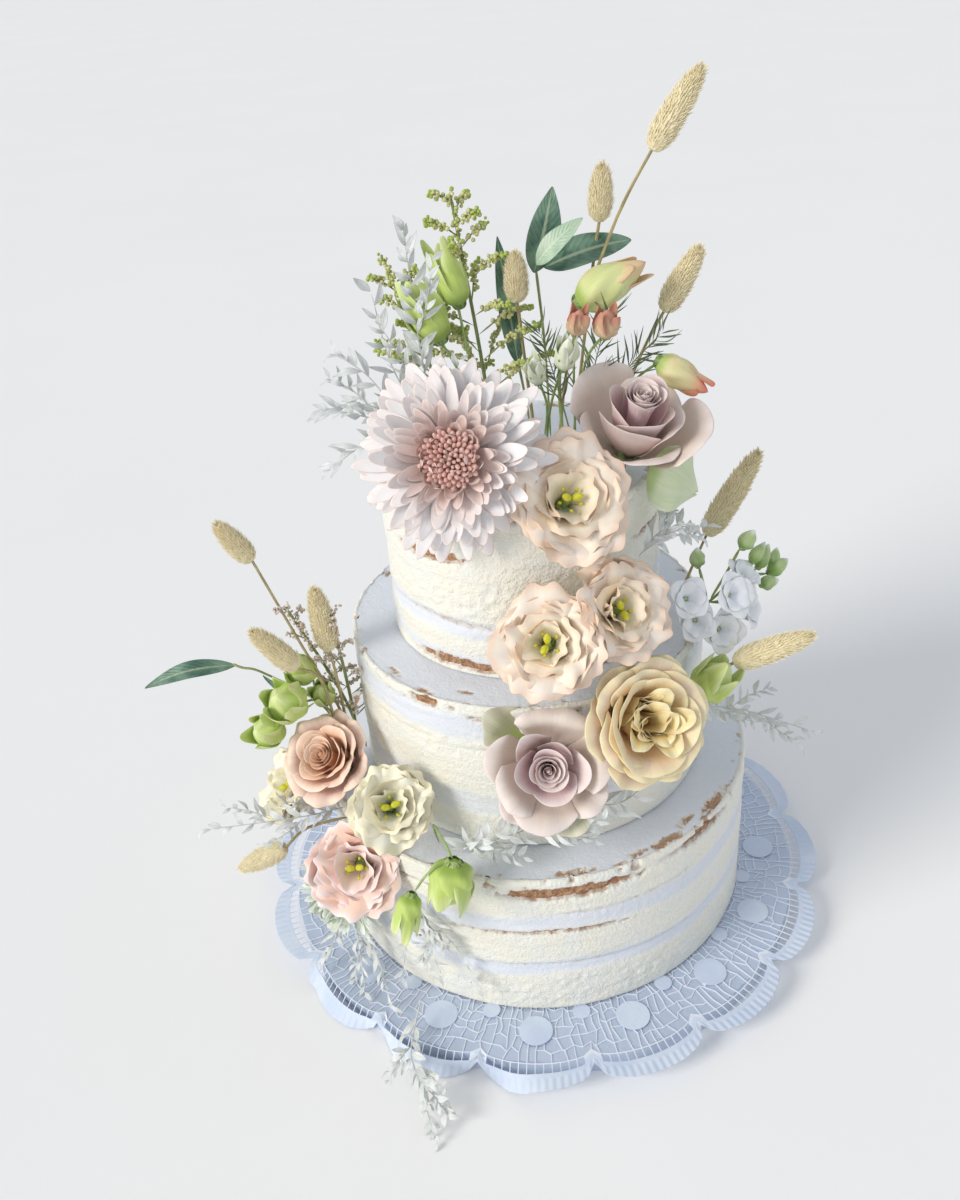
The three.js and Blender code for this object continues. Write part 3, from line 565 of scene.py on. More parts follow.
# Azimuth and half width in degrees, height and half height in millimetres, and how bare: 1 is down to the
# sponge.
MARKS = {
    "bottom": [(-83, 20, 103, 4.6, 1.25), (-46, 13, 107, 3.4, 1.1), (-90, 24, 74, 1.7, 1.0),
               (-75, 40, 49, 1.3, 0.35), (-70, 34, 88, 1.4, 0.3), (-118, 12, 99, 1.5, 0.5),
               (8, 16, 98, 3.0, 1.1), (62, 22, 70, 2.0, 0.9), (100, 18, 104, 3.6, 1.15),
               (150, 26, 82, 1.8, 0.9), (-160, 14, 101, 2.6, 1.0)],
    "middle": [(-124, 7, 201.5, 3.6, 1.1), (-104, 7, 196, 1.6, 0.8), (-100, 30, 176, 1.2, 0.3),
               (-60, 40, 150, 1.4, 0.3), (20, 20, 190, 2.4, 1.0), (75, 26, 160, 1.8, 0.8),
               (120, 16, 197, 3.0, 1.1), (170, 30, 140, 1.8, 0.7)],
    "top": [(-131, 22, 272.5, 3.6, 1.25), (-122, 30, 209.8, 4.0, 0.95), (-118, 44, 236, 2.6, 0.4),
            (-80, 40, 228, 1.6, 0.3), (-20, 24, 270, 2.6, 1.0), (30, 30, 214, 2.6, 1.0),
            (85, 24, 268, 3.4, 1.15), (140, 30, 230, 2.0, 0.8), (175, 18, 280, 2.4, 1.0)],
}
# Bands of lumpy cream: from and to what height, and how strong.
LUMPS = {"bottom": [(16, 44, 1.0), (78, 98, 0.35)], "middle": [(118, 150, 0.45), (160, 192, 0.7)],
         "top": [(240, 268, 1.0), (278, 296, 0.5)]}
# Ledges where one stroke of the knife stopped: height and how far the cream below it lies back.
LEDGES = {"bottom": [(50, 1.0), (88, 0.5)], "middle": [(146, 0.6), (180, 0.7)],
          "top": [(237, 0.9), (262, 0.4)]}
# Crumbs on a tier's top: azimuth and half width in degrees, distance from the axis, half width in
# millimetres.
CRUMBS = {
    "bottom": [(-36, 9, 121, 4.5), (-47, 5, 117, 3.2), (-56, 6, 121, 3.4), (-65, 5, 120, 2.4),
               (-82, 6, 121, 2.4), (20, 10, 120, 3.0), (95, 8, 119, 3.0), (160, 9, 121, 2.6)],
    "middle": [(-125, 4, 95, 2.6), (-112, 3, 88, 1.6), (-140, 4, 93, 1.6), (60, 7, 94, 3.0),
               (150, 6, 93, 2.4)],
    "top": [(70, 8, 69, 2.6), (150, 6, 70, 2.0)],
}
# Bands of thin smooth cream whose cool grey colour is painted shade: from and to what height, and how strong.
SMOOTH_SHADED_BANDS = {"bottom": [(42, 52, 1.0), (76, 88, 0.8)], "middle": [(134, 150, 0.6), (184, 200, 0.8)],
                "top": [(212, 219, 0.7), (230, 240, 1.0)]}
WALL_STEP = 1.3
WALL_ROUNDING = 2.2
SPONGE_DEPTH = 2.72


def coat_path(radius, foot, top, covered):
    """The coat's outline from the axis under the tier, up its wall and back to the axis on top."""
    path = [(0.0, foot), (radius * 0.6, foot), (radius - 3.0, foot), (radius - 0.6, foot + 0.2)]
    rows = int((top - 2.4 - foot) / WALL_STEP)
    path += [(radius, foot + 0.8 + WALL_STEP * row) for row in range(rows)]
    for degrees in (12, 30, 48, 66, 84):
        turn = math.radians(degrees)
        path.append((radius - 2 + 2 * math.cos(turn), top - 2 + 2 * math.sin(turn)))
    reach = radius - 3.2
    while reach > covered:
        path.append((reach, top))
        reach -= WALL_STEP * 1.15
    return [*path, (0.0, top)]


def mark_at(marks, azimuth, height, spot):
    """How bare the wall is at a point: the lens-shaped marks with a ragged outline."""
    ragged = 0.55 * noise.noise(spot / 4) + 0.3 * noise.noise(spot / 1.7)
    bare = 0.0
    for middle, half, level, tall, strength in marks:
        off = (azimuth - middle + 180) % 360 - 180
        if abs(off) > half * 1.3:
            continue
        tilt = 0.9 * math.sin(0.11 * azimuth + level)
        inside = 1 - (off / half) ** 2 - ((height - level - tilt) / tall) ** 2 + ragged
        bare = max(bare, strength * smoothstep(inside, -0.1, 0.75))
    return bare


def add_coat(tier, finish):
    size = TIERS[tier]
    path = coat_path(**size)
    wall_top = size["top"] - WALL_ROUNDING
    columns = int(2 * math.pi * size["radius"] / WALL_STEP)
    looks = {}

    def shape(across, along):
        reach, height = path[round(along * (len(path) - 1))]
        turn = math.pi * across
        way = Vector((math.cos(turn), math.sin(turn), 0))
        spot = way * reach + Vector((0, 0, height))
        if reach < 1 or height < size["foot"] + 0.1:
            return spot
        azimuth = math.degrees(turn)
        swell = 0.55 * noise.noise(spot / 42)
        bands = 0.5 * noise.noise(Vector((spot.x / 30, spot.y / 30, height / 3.6)))
        streaks = 0.22 * noise.noise(Vector((spot.x / 9, spot.y / 9, height / 1.3)))
        lumps = sum(strong * smoothstep(height, low, low + 5) * (1 - smoothstep(height, high - 5, high))
                    for low, high, strong in LUMPS[tier])
        patch = smoothstep(noise.noise(spot / 17), -0.35, 0.3)
        lumpy = (0.16 + lumps * patch) * (0.8 * noise.noise(spot / 3.4) + 0.55 * noise.noise(spot / 1.9))
        on_top = height > wall_top and reach < size["radius"] - 2.5
        if on_top:
            lift = 0.45 * noise.noise(spot / 24) + 0.16 * noise.noise(spot / 5)
            rim = smoothstep(reach, size["radius"] - 12, size["radius"] - 3)
            crumbs = rim * max(0.0, noise.noise(spot / 2.2)) * 0.7
            bare = 0.7 * rim * smoothstep(noise.noise(spot / 5 + Vector((7, 3, 1))), 0.26, 0.46)
            ragged = 0.8 * noise.noise(spot / 3) + 0.5 * noise.noise(spot / 1.3)
            for middle, half, away, deep in CRUMBS[tier]:
                off = (azimuth - middle + 180) % 360 - 180
                inside = 1 - (off / half) ** 2 - ((reach - away) / deep) ** 2 + ragged
                bare = max(bare, smoothstep(inside, 0.0, 0.8) if abs(off) < 1.4 * half else 0.0)
            # The tier's top takes the full cool grey: painted shade on the top surface.
            looks[(round(across, 5), round(along, 5))] = (bare, 1.0)
            return spot + Vector((0, 0, lift + crumbs - 0.5 - 0.9 * bare))
        bare = mark_at(MARKS[tier], azimuth, height, spot)
        near_rim = smoothstep(height, wall_top - 9, wall_top)
        bare = max(bare, 0.7 * near_rim * smoothstep(noise.noise(spot / 6 + Vector((2, 9, 4))), 0.2, 0.45))
        # How far the point lies in a smooth band, whose cool grey is painted shade.
        line = height + 3.0 * noise.noise(way * 1.8)
        cool = sum(strong * smoothstep(line, low - 4, low + 4) * (1 - smoothstep(line, high - 4, high + 4))
                   for low, high, strong in SMOOTH_SHADED_BANDS[tier])
        looks[(round(across, 5), round(along, 5))] = (bare, cool)
        ledge = 0.0
        for level, deep in LEDGES[tier]:
            line = level + 2.6 * noise.noise(way * 2.1 + Vector((0, 0, level)))
            ledge += deep * smoothstep(noise.noise(way * 1.6 + Vector((0, level, 3))), -0.5, -0.1) * (
                smoothstep(height, line - 12, line - 1.2) - smoothstep(height, line - 1.2, line + 0.3))
        out = -0.6 + swell + bands + streaks + lumpy - ledge - SPONGE_DEPTH * bare
        drop = near_rim * 0.5 * noise.noise(spot / 7)
        return spot + way * out + Vector((0, 0, drop))

    coat = Bloom()
    verts = coat.sheet(columns, len(path) - 1, shape)
    for vert in verts:
        key = (round(vert[coat.across], 5), round(vert[coat.along], 5))
        vert[coat.tone], vert[coat.along] = looks.get(key, (0.0, 0.0))
    bmesh.ops.remove_doubles(coat.mesh, verts=coat.mesh.verts, dist=LOOSE_WELD_MM * MM)
    bmesh.ops.recalc_face_normals(coat.mesh, faces=coat.mesh.faces)
    coat.finish(f"coat_{tier}", "buttercream", [finish])


# %% Buttercream: the finish and the coats
icing = Finish("buttercream", 0.5)
bare, cool = icing.attribute("tone"), icing.attribute("along")
speckle = icing.noise(1.6, 4.0)
mottle = icing.noise(16.0, 3.0)
flecks = icing.noise(0.9, 2.0)
cream = icing.mix(mottle.rise(0.3, 0.7), tint(245, 241, 226), tint(240, 240, 232))
# Smooth bands and tier tops are mixed towards a cool grey-blue: painted shade. The smooth cream also gets
# less grain in the bump.
shaded_thick_cream = icing.mix((cool + mottle * 0.4).rise(0.3, 1.1), cream, tint(226, 230, 238))
worn = icing.noise(5.0, 4.0)
smear = icing.mix(worn.rise(0.4, 0.65), tint(226, 219, 208), tint(176, 146, 124))
thin = icing.mix((bare + speckle * 0.55).rise(0.42, 0.85), shaded_thick_cream, smear)
scraped = icing.mix(flecks.rise(0.6, 0.68), tint(166, 126, 96), tint(224, 212, 196))
icing.colour(icing.mix((bare + speckle * 0.5).rise(0.95, 1.25), thin, scraped))
grains = speckle * 0.8 + icing.noise(3.2, 3.0) * 0.9 + flecks * 0.4
icing.bump(grains * (1 - cool * 0.6), 1.0, 0.75)
for tier in TIERS:
    add_coat(tier, icing)

# %% [markdown]
# ## The paper doily
# A doily is stamped from thin paper: a net of irregular openings with round medallions, a ring of slots,
# and an embossed scalloped border. One flat ring of faces becomes all of it. The faces of the net are
# inset and their middles deleted, so that only bars stay. The border reaches out to the scallops and
# bends over the board.

# %% Doily
# All lengths in millimetres. The border's scallops reach from "cusp" to "reach".
DOILY = {"scallops": 16, "per_scallop": 14, "turn": 0.35, "level": 12.55, "cusp": 163.0, "reach": 177.0}
# Where the rim hangs over the board's edge: the middle and half width of that part in degrees, how far
# the rim bends there and elsewhere, where it starts to bend, and how far it stays above the table.
FOLD = {"azimuth": -122.0, "half": 31.0, "bend": 80.0, "droop": 4.0, "radius": 160.8, "clear": 1.0}
LACE_FROM, LACE_TO, SLOT_TO = 122.0, 155.0, 159.0
MEDALLION_AT, MEDALLION_RADIUS = 141.0, 9.5
SMALL_MEDALLION_AT, SMALL_MEDALLION_RADIUS = 130.0, 5.0
LACE_ROWS = 6
# The share of the net's edges that two openings are joined over, and half the width of a bar.
JOINED_SHARE = 0.55
NET_BAR, SLOT_BAR = 0.36, 0.34
# How far the slots and the border follow the scallops outwards.
SLOT_OUT, BORDER_OUT = 6.5, 1.8
HEART_RADIUS = 61.5
PAPER_THICK = 0.45


def scallop(azimuth):
    phase = azimuth / (2 * math.pi) * DOILY["scallops"] - DOILY["turn"]
    across = 2 * (phase - math.floor(phase)) - 1
    return math.sqrt(max(0.0, 1 - across * across)) ** 0.9


def outline_at(azimuth):
    return DOILY["cusp"] + (DOILY["reach"] - DOILY["cusp"]) * scallop(azimuth)


def rim_bend(azimuth):
    """How far the rim is bent down, in radians: at most until it touches the table."""
    off = abs((math.degrees(azimuth) - FOLD["azimuth"] + 180) % 360 - 180)
    share = smoothstep(off / FOLD["half"], 0.55, 1.0)
    free = (DOILY["level"] - FOLD["clear"]) / max(1.0, outline_at(azimuth) - FOLD["radius"])
    return min(math.radians(FOLD["bend"] * (1 - share) + FOLD["droop"] * share), math.asin(min(1.0, free)))


def fold_over(azimuth, reach, lift):
    """The place of a point of the paper, with the rim bent down past the board's edge."""
    beyond = max(0.0, reach - FOLD["radius"])
    bend = rim_bend(azimuth) * smoothstep(beyond, 0.0, 5.0)
    flat = min(reach, FOLD["radius"]) + beyond * math.cos(bend)
    height = DOILY["level"] + lift * math.cos(bend) - beyond * math.sin(bend)
    return Vector((flat * math.cos(azimuth), flat * math.sin(azimuth), height))


def add_doily(finish):
    rings = [60.0, 100.0, 118.0, LACE_FROM]
    rings += [LACE_FROM + (LACE_TO - LACE_FROM) * (row + 1) / LACE_ROWS for row in range(LACE_ROWS)]
    slot_row = len(rings) - 1
    rings.append(SLOT_TO)
    shares = [0.15, 0.4, 0.65, 0.85, 0.97, 1.0]
    rows = len(rings) + len(shares) - 1
    columns = DOILY["scallops"] * DOILY["per_scallop"]
    rng = random.Random(8)

    def shape(across, along):
        row = round(along * rows)
        azimuth = math.pi * across + 2 * math.pi * DOILY["turn"] / DOILY["scallops"]
        lobe = scallop(azimuth)
        slot_out = SLOT_OUT * lobe
        if row < len(rings):
            reach = rings[row] + slot_out * smoothstep(rings[row], LACE_TO - 14, LACE_TO)
            reach += BORDER_OUT * lobe * (row == len(rings) - 1)
        else:
            start = SLOT_TO + slot_out + BORDER_OUT * lobe
            reach = start + (outline_at(azimuth) - start) * shares[row - len(rings)]
        if slot_row - LACE_ROWS < row < slot_row and abs(across) < 0.999:
            wobble = noise.noise_vector(Vector((61 * math.cos(azimuth), 61 * math.sin(azimuth), 3.1 * row)))
            azimuth += 0.026 * wobble.x
            reach += 3.6 * wobble.y
        tooth = 0.6 * math.sin(azimuth * DOILY["scallops"] * 7) if row == rows else 0.0
        return fold_over(azimuth, reach + tooth, 0.0)

    paper = Bloom()
    paper.sheet(columns, rows, shape)
    sector = 2 * math.pi / DOILY["scallops"]

    def zone(face):
        spot = face.calc_center_median() / MM
        row = round(min(vert[paper.along] for vert in face.verts) * rows)
        phase = (math.atan2(spot.y, spot.x) / sector - DOILY["turn"]) % 1.0 - 0.5
        away = math.hypot(phase * sector * MEDALLION_AT, spot.xy.length - MEDALLION_AT)
        if row == slot_row:
            return "slot" if scallop(math.atan2(spot.y, spot.x)) > 0.62 else "plain"
        return "net" if slot_row - LACE_ROWS <= row < slot_row and away > MEDALLION_RADIUS - 3 else "plain"

    joined, dropped = set(), []
    edges = list(paper.mesh.edges)
    rng.shuffle(edges)
    for edge in edges:
        faces = edge.link_faces
        whole = len(faces) == 2 and all(zone(face) == "net" for face in faces)
        if whole and not joined.intersection(faces) and rng.random() < JOINED_SHARE:
            joined.update(faces)
            dropped.append(edge)
    bmesh.ops.dissolve_edges(paper.mesh, edges=dropped)
    bmesh.ops.remove_doubles(paper.mesh, verts=paper.mesh.verts, dist=LOOSE_WELD_MM * MM)
    net = [face for face in paper.mesh.faces if zone(face) == "net"]
    slots = [face for face in paper.mesh.faces if zone(face) == "slot"]
    # Tone 1 marks the net's bars, which the finish paints lighter: a painted highlight where the raised bars
    # catch the light.
    for face in net:
        for vert in face.verts:
            vert[paper.tone] = 1.0
    bmesh.ops.inset_individual(paper.mesh, faces=net, thickness=NET_BAR * MM)
    bmesh.ops.inset_individual(paper.mesh, faces=slots, thickness=SLOT_BAR * MM)
    bmesh.ops.delete(paper.mesh, geom=[*net, *slots], context="FACES")
    print("openings in the lace:", len(net), "slots:", len(slots))
    medallions = [(MEDALLION_AT, MEDALLION_RADIUS, 0.0), (SMALL_MEDALLION_AT, SMALL_MEDALLION_RADIUS, 0.5)]
    for lobe in range(DOILY["scallops"]):
        turn = (lobe + 0.5 + DOILY["turn"]) * sector
        for away, radius, shift in medallions:
            spot = fold_over(turn + shift * sector, away, 0.15) * MM
            disc = bmesh.ops.create_circle(
                paper.mesh, cap_ends=True, segments=20, radius=radius * MM, matrix=Matrix.Translation(spot)
            )
            cap = faces_of(disc["verts"])
            bmesh.ops.inset_region(paper.mesh, faces=cap, thickness=1.0 * MM, depth=0.12 * MM)
    heart = bmesh.ops.create_circle(
        paper.mesh, cap_ends=True, segments=32, radius=HEART_RADIUS * MM,
        matrix=Matrix.Translation((0, 0, (DOILY["level"] + 0.1) * MM)),
    )
    paper.paint(heart["verts"], 0.0, 0)
    bmesh.ops.recalc_face_normals(paper.mesh, faces=paper.mesh.faces)
    bmesh.ops.solidify(paper.mesh, geom=paper.mesh.faces[:], thickness=PAPER_THICK * MM)
    for face in paper.mesh.faces:
        face.smooth = min(vert[paper.along] for vert in face.verts) > (slot_row + 0.5) / rows
    paper.finish("doily", "paper_lace", [finish])


RIBS = 16 * 16
lace = Finish("paper_lace", 0.72)
fibre = lace.noise(2.2, 4.0)
# The white paper is painted pale blue, with a little random tone: painted cool shade from the sky.
paper_in_cool_shade = lace.mix(lace.noise(26.0).rise(0.3, 0.7), tint(202, 215, 237), tint(217, 227, 242))
# The bars of the net are painted lighter than the rest of the paper: a painted highlight on the raised bars.
lace.colour(lace.mix(lace.attribute("tone").rise(0.2, 0.9), paper_in_cool_shade, tint(232, 237, 248)))
ribs = lace.node("ShaderNodeMath", {"operation": "SINE"}, {0: lace.attribute("across") * (math.pi * RIBS)})
border = lace.attribute("along").rise(0.69, 0.75)
lace.bump(ribs * border + fibre * 0.5, 0.3, 0.5)
add_doily(lace)

# %% [markdown]
# ## Green parts
# Every bloom stands on a green cup of sepals with a stem that goes into the cake. They hardly show from the
# front, but from the side and from behind they keep a bloom from looking like a cut-out.

# %% Greens
def leaf_finish(name, dark, light, roughness=0.45, vein=0.3):
    """A leaf with a paler midrib, side veins and a soft sheen."""
    skin = Finish(name, roughness)
    along, across = skin.attribute("along"), skin.attribute("across")
    uneven = skin.noise(7.0, 2.0) * 0.05
    ribs = skin.node("ShaderNodeMath", {"operation": "SINE"},
                     {0: (along - abs(across) * 0.22 + uneven) * 76.0})
    midrib = 1 - abs(across).rise(0.03, 0.16)
    body = skin.mix(skin.noise(11).rise(0.3, 0.7), dark, light)
    body = skin.mix(ribs.rise(0.4, 1.0) * vein + midrib * 0.55, body,
                    skin.mix(0.6, light, tint(225, 230, 190)))
    return skin.colour(body).bump(ribs * 0.4 + midrib * 1.4 + skin.noise(2.0) * 0.4, 0.35, 0.6)


GREEN = leaf_finish("dark_leaf", tint(62, 98, 82), tint(118, 150, 128), vein=0.07)
SEPAL = leaf_finish("sepal", tint(116, 148, 78), tint(166, 190, 110))
STEM = leaf_finish("stem", tint(122, 138, 80), tint(160, 166, 104), 0.6)


def add_calyx(bloom, depth, radius, finish):
    """A cup under the bloom with five pointed sepals, and a stem below it."""
    def cup(turn, along):
        return radius * math.sin(math.pi * min(0.97, 0.12 + 0.6 * along)) ** 0.7 * min(1.0, 9 * (1 - along))

    bloom.closed(12, 8, cup, (0, 0, -depth - 8), (0, 0, -depth + 6), 0.0, finish)
    for k in range(5):
        line = petal_line((radius * 0.8, -depth - 5), (radius * 2.1, -depth + 9), 75, -40)
        bloom.petal(4, 7, petal_shape(72 * k + 20, line, 4.2, 9.0, 0.85, 0.1), 0.5, finish, 0.5)
    bloom.tube([(0, 0, -depth - 6), (0.5, -1, -depth - 12), (0, -2, -depth - 20)], 1.6, 0.5, finish)


# %% [markdown]
# ## Roses
# The heart of a rose is one long spiral: each petal stands 137.5 degrees round from the one before, so
# none covers another. The petals of the heart wrap tightly round the axis and stand up. The open ones are
# listed one by one or in rings. They lean out and roll their rims back. A garden rose has its heart
# folded into quarters, which here are small fans of petals round their own centres.


# %% Roses
ROSE_TURN = 137.5


def rose(wide, tall, heart, petals, seed, high=0.0, quarters=0, ruffle=0.6):
    """The petals of a rose as a bloom that looks along +Z, with its face at height 0: `heart` petals rolled
    up in the middle, and then the open ones of the list `petals`. Each of those has its azimuth, its reach as
    a share of the radius, the height of its rim, its half width in radians, how far its rim rolls back in
    degrees, how pointed it is from 0 to 1, and the number of its finish."""
    rng = random.Random(seed)
    bloom = Bloom()
    radius = wide / 2
    if heart:
        bloom.closed(12, 8, lambda turn, along: 2.1 * min(1.0, 6 * (1 - along) + 0.01, 6 * along + 0.01),
                     (0, 0, -tall), (0, 0, high - 2.0), 0.05)
    for k in range(heart):
        share = 0.05 + 0.33 * k / heart
        rim = (radius * share * rng.uniform(0.97, 1.03), high - 0.8)
        line = petal_line((1.0 + 5.0 * share, -tall), rim, 5, -3, 20)
        shape = petal_shape(
            ROSE_TURN * k + rng.uniform(-10, 10), line, 1.9 - share, 0.0, rounding=0.14, hug=1.0,
            ruffle=ruffle * 0.2, waves=1.2, swirl=0.14, phase=rng.uniform(0, 6.3),
        )
        bloom.petal(12, 9, shape, share, 0, 0.35)
    for azimuth, share, rim, spread, flip, sharp, finish in petals:
        outer = smoothstep(share, 0.55, 0.9)
        lean = 26 + 34 * outer
        foot = (1.0 + 4.0 * share, -tall)
        line = petal_line(foot, (radius * share, rim), lean, -lean - 4 * outer, flip + 30 * outer)
        shape = petal_shape(
            azimuth + rng.uniform(-5, 5), line, spread, 0.0, rounding=0.16 + 0.2 * sharp,
            point=2.4 - 1.1 * sharp, hug=1.1 + 0.4 * outer, ruffle=ruffle * (0.25 + 1.4 * share**2),
            waves=rng.uniform(1.1, 1.9), roll=rng.uniform(1.0, 3.4) * outer, swirl=rng.uniform(-0.07, 0.07),
            phase=rng.uniform(0, 6.3), frill=0.3 * ruffle * outer,
        )
        bloom.petal(14, 12, shape, min(share, 1.0), finish, 0.3 + 0.25 * share)
    for quarter in range(quarters):
        turn = 2 * math.pi * quarter / quarters + rng.uniform(0.2, 0.8)
        for fold in range(5):
            share = fold / 4
            away = radius * rng.uniform(0.08, 0.3)
            centre = (away * math.cos(turn), away * math.sin(turn))
            rim = (2.0 + radius * 0.26 * share, -5.0 + 4.0 * share + rng.uniform(-1.5, 1.5))
            line = petal_line((0.8, -tall), rim, 8, -16, 56)
            azimuth = math.degrees(turn) + rng.uniform(-60, 60)
            shape = petal_shape(
                azimuth, line, rng.uniform(7, 10), rng.uniform(7, 12), rounding=0.2, ruffle=1.2, waves=1.1,
                frill=0.2, phase=rng.uniform(0, 6.3), centre=centre, narrow=0.4,
            )
            bloom.petal(14, 9, shape, 0.1 + 0.4 * share, 0, 0.45)
    return bloom


def petal_rings(*rings):
    """Rings of open petals for a rose: count, reach, height, half width, roll and sharpness of each ring."""
    petals = []
    for ring, (count, reach, height, spread, roll, sharp) in enumerate(rings):
        for k in range(count):
            azimuth = 360 / count * k + 47 * ring
            uneven_reach = reach + 0.05 * math.sin(5.1 * k + ring)
            uneven_height = height - 2.0 * math.sin(3.3 * k) ** 2
            petals.append((azimuth, uneven_reach, uneven_height, spread, roll, sharp, 0))
    return petals


MAUVE_FRONT = [
    (55, 0.48, -1.0, 1.0, 20, 0.9, 0), (190, 0.52, -1.5, 1.1, 30, 0.6, 0),
    (290, 0.56, -2.5, 1.1, 40, 0.4, 0), (345, 0.66, -3.0, 0.9, 50, 0.5, 0),
    (120, 0.68, -3.0, 0.8, 40, 1.0, 0), (82, 0.96, -3.0, 0.8, 150, 0.1, 0),
    (208, 0.90, -7.0, 0.72, 100, 0.4, 0), (8, 0.98, -6.0, 0.7, 100, 0.4, 0),
    (262, 1.04, -9.0, 0.7, 90, 0.3, 0), (318, 1.06, -12.0, 0.62, 80, 0.5, 0),
    (168, 1.02, -12.0, 0.62, 80, 0.6, 0), (45, 1.02, -14.0, 0.6, 60, 0.4, 0),
    (132, 1.34, -14.0, 0.46, 30, 1.0, 2), (288, 1.2, -17.0, 0.5, 40, 0.5, 2),
    (232, 1.08, -16.0, 0.5, 60, 0.5, 0),
]
MAUVE_TOP = [
    (60, 0.5, 4.0, 1.2, 20, 0.5, 0), (180, 0.54, 2.0, 1.3, 20, 0.5, 0), (292, 0.58, 0.5, 1.4, 18, 0.3, 0),
    (238, 0.68, -2.5, 1.2, 20, 0.3, 0), (336, 0.74, -5.0, 1.0, 36, 0.3, 0),
    (138, 1.16, -6.0, 0.85, 30, 0.2, 0), (-8, 1.22, -8.0, 0.85, 30, 0.3, 0),
    (205, 0.98, -14.0, 0.8, 50, 0.3, 0), (290, 0.98, -14.0, 0.8, 50, 0.3, 0),
    (65, 1.0, -12.0, 0.8, 30, 0.3, 0),
]
CREAM_RINGS = petal_rings((5, 0.7, -1.0, 0.95, 40, 0.1), (5, 0.8, -3.0, 0.9, 60, 0.1),
                          (6, 0.9, -6.0, 0.75, 80, 0.2), (6, 1.0, -10.0, 0.7, 80, 0.5))
PEACH_RINGS = petal_rings((3, 0.46, -1.5, 1.15, 40, 0.3), (4, 0.6, -3.0, 1.0, 60, 0.3),
                          (5, 0.78, -6.0, 0.85, 80, 0.2), (6, 0.97, -11.0, 0.72, 90, 0.3))
ROSES = [
    ("rose_mauve_front", "petal_mauve", MAUVE, (6, -130, 190), (0, -0.85, 0.5),
     dict(wide=64, tall=30, heart=12, petals=MAUVE_FRONT, seed=3, high=0.5)),
    ("rose_cream", "petal_cream", CREAM, (61, -115, 204), (0.4, -0.78, 0.45),
     dict(wide=70, tall=30, heart=0, petals=CREAM_RINGS, seed=5, quarters=5, ruffle=1.1)),
    ("rose_mauve_top", "petal_mauve", MAUVE, (60, -44, 342), (0.16, -0.4, 0.9),
     dict(wide=60, tall=36, heart=14, petals=MAUVE_TOP, seed=11, high=6.5, ruffle=0.4)),
    ("rose_peach", "petal_peach", PEACH, (-118, -72, 162), (-0.3, -0.6, 0.75),
     dict(wide=56, tall=32, heart=12, petals=PEACH_RINGS, seed=7, ruffle=1.2)),
]
for name, slot, finish, at, faces, shape in ROSES:
    bloom = rose(**shape)
    add_calyx(bloom, shape["tall"] - 1, 5.0, 1)
    bloom.place(facing(at, faces))
    bloom.finish(name, slot, [finish, SEPAL, GUARD], smooth_levels=1)

# %% [markdown]
# ## Lisianthus
# Double lisianthus has broad thin petals whose rims are frilled like cloth and edged with a deeper
# colour. Four whorls stand in each other. In the middle there are a bright two-lobed stigma and five
# yellow anthers over a dark throat.

# %% Lisianthus
STIGMA = Finish("stigma", 0.5)
STIGMA.colour(STIGMA.mix(STIGMA.noise(1.5).rise(0.3, 0.7), tint(186, 190, 40), tint(226, 214, 60)))
STIGMA.bump(STIGMA.noise(0.7), 0.3, 0.8)


# Each whorl: its petals, its reach as a share of the radius, how far it droops, and where it starts.
WHORLS = ((5, 1.0, 0.66, 9), (5, 0.84, 0.46, 24), (3, 0.6, 0.26, 15), (3, 0.4, 0.1, 5))
ANTHERS = 5


def lisianthus(wide, tall, seed):
    """The petals of a double lisianthus, looking along +Z, with its face at height 0."""
    rng = random.Random(seed)
    bloom = Bloom()
    radius = wide / 2
    for ring, (count, share, low, start) in enumerate(WHORLS):
        for k in range(count):
            reach = radius * share * rng.uniform(0.9, 1.04)
            rim = -1.5 - tall * 0.3 * low * rng.uniform(0.6, 1.4)
            azimuth = 360 * k / count + start * 3 + rng.uniform(-10, 10)
            line = petal_line((1.6, -tall), (reach, rim), 12, 64 * low + 18, rng.uniform(20, 80) * low)
            width = math.pi * radius * share / count * 1.5
            shape = petal_shape(
                azimuth, line, width, radius * share * 0.85, rounding=0.2,
                ruffle=rng.uniform(2.4, 4.4) * (0.5 + 0.5 * share), waves=rng.uniform(1.3, 2.2), frill=1.6,
                narrow=0.22, fullest=0.85, phase=rng.uniform(0, 6.3), swirl=rng.uniform(-0.12, 0.12),
            )
            bloom.petal(20, 10, shape, 1 - ring * 0.3, 0, 0.3)

    def throat(turn, along):
        return 2.2 * (1 - 0.45 * along) * min(1, 8 * along + 0.01, 8 * (1 - along))

    def stigma_lobe(turn, along):
        return 2.1 * math.sin(math.pi * min(0.995, max(0.005, along))) ** 0.6

    bloom.closed(8, 6, throat, (0, 0, -tall), (0, 0, -8), 0.0, 1)
    for lobe in (-1, 1):
        bloom.closed(8, 6, stigma_lobe, (0, 0, -8.5), (5.2 * lobe, 1.2, -5.0), 0.5, 2)
    for k in range(ANTHERS):
        turn = 2 * math.pi * k / ANTHERS + seed
        root = Vector((1.5 * math.cos(turn), 1.5 * math.sin(turn), -tall + 4))
        head = Vector((5.5 * math.cos(turn), 5.5 * math.sin(turn), -9 + rng.uniform(-1, 1)))
        bloom.tube([root, (root + head) / 2, head], 0.4, 0.3, 1, columns=4)
        bloom.grain(head, 1.1, 0.5, 2, 1.7, (0.5 * math.cos(turn), 0.5 * math.sin(turn), 0.6))
    return bloom


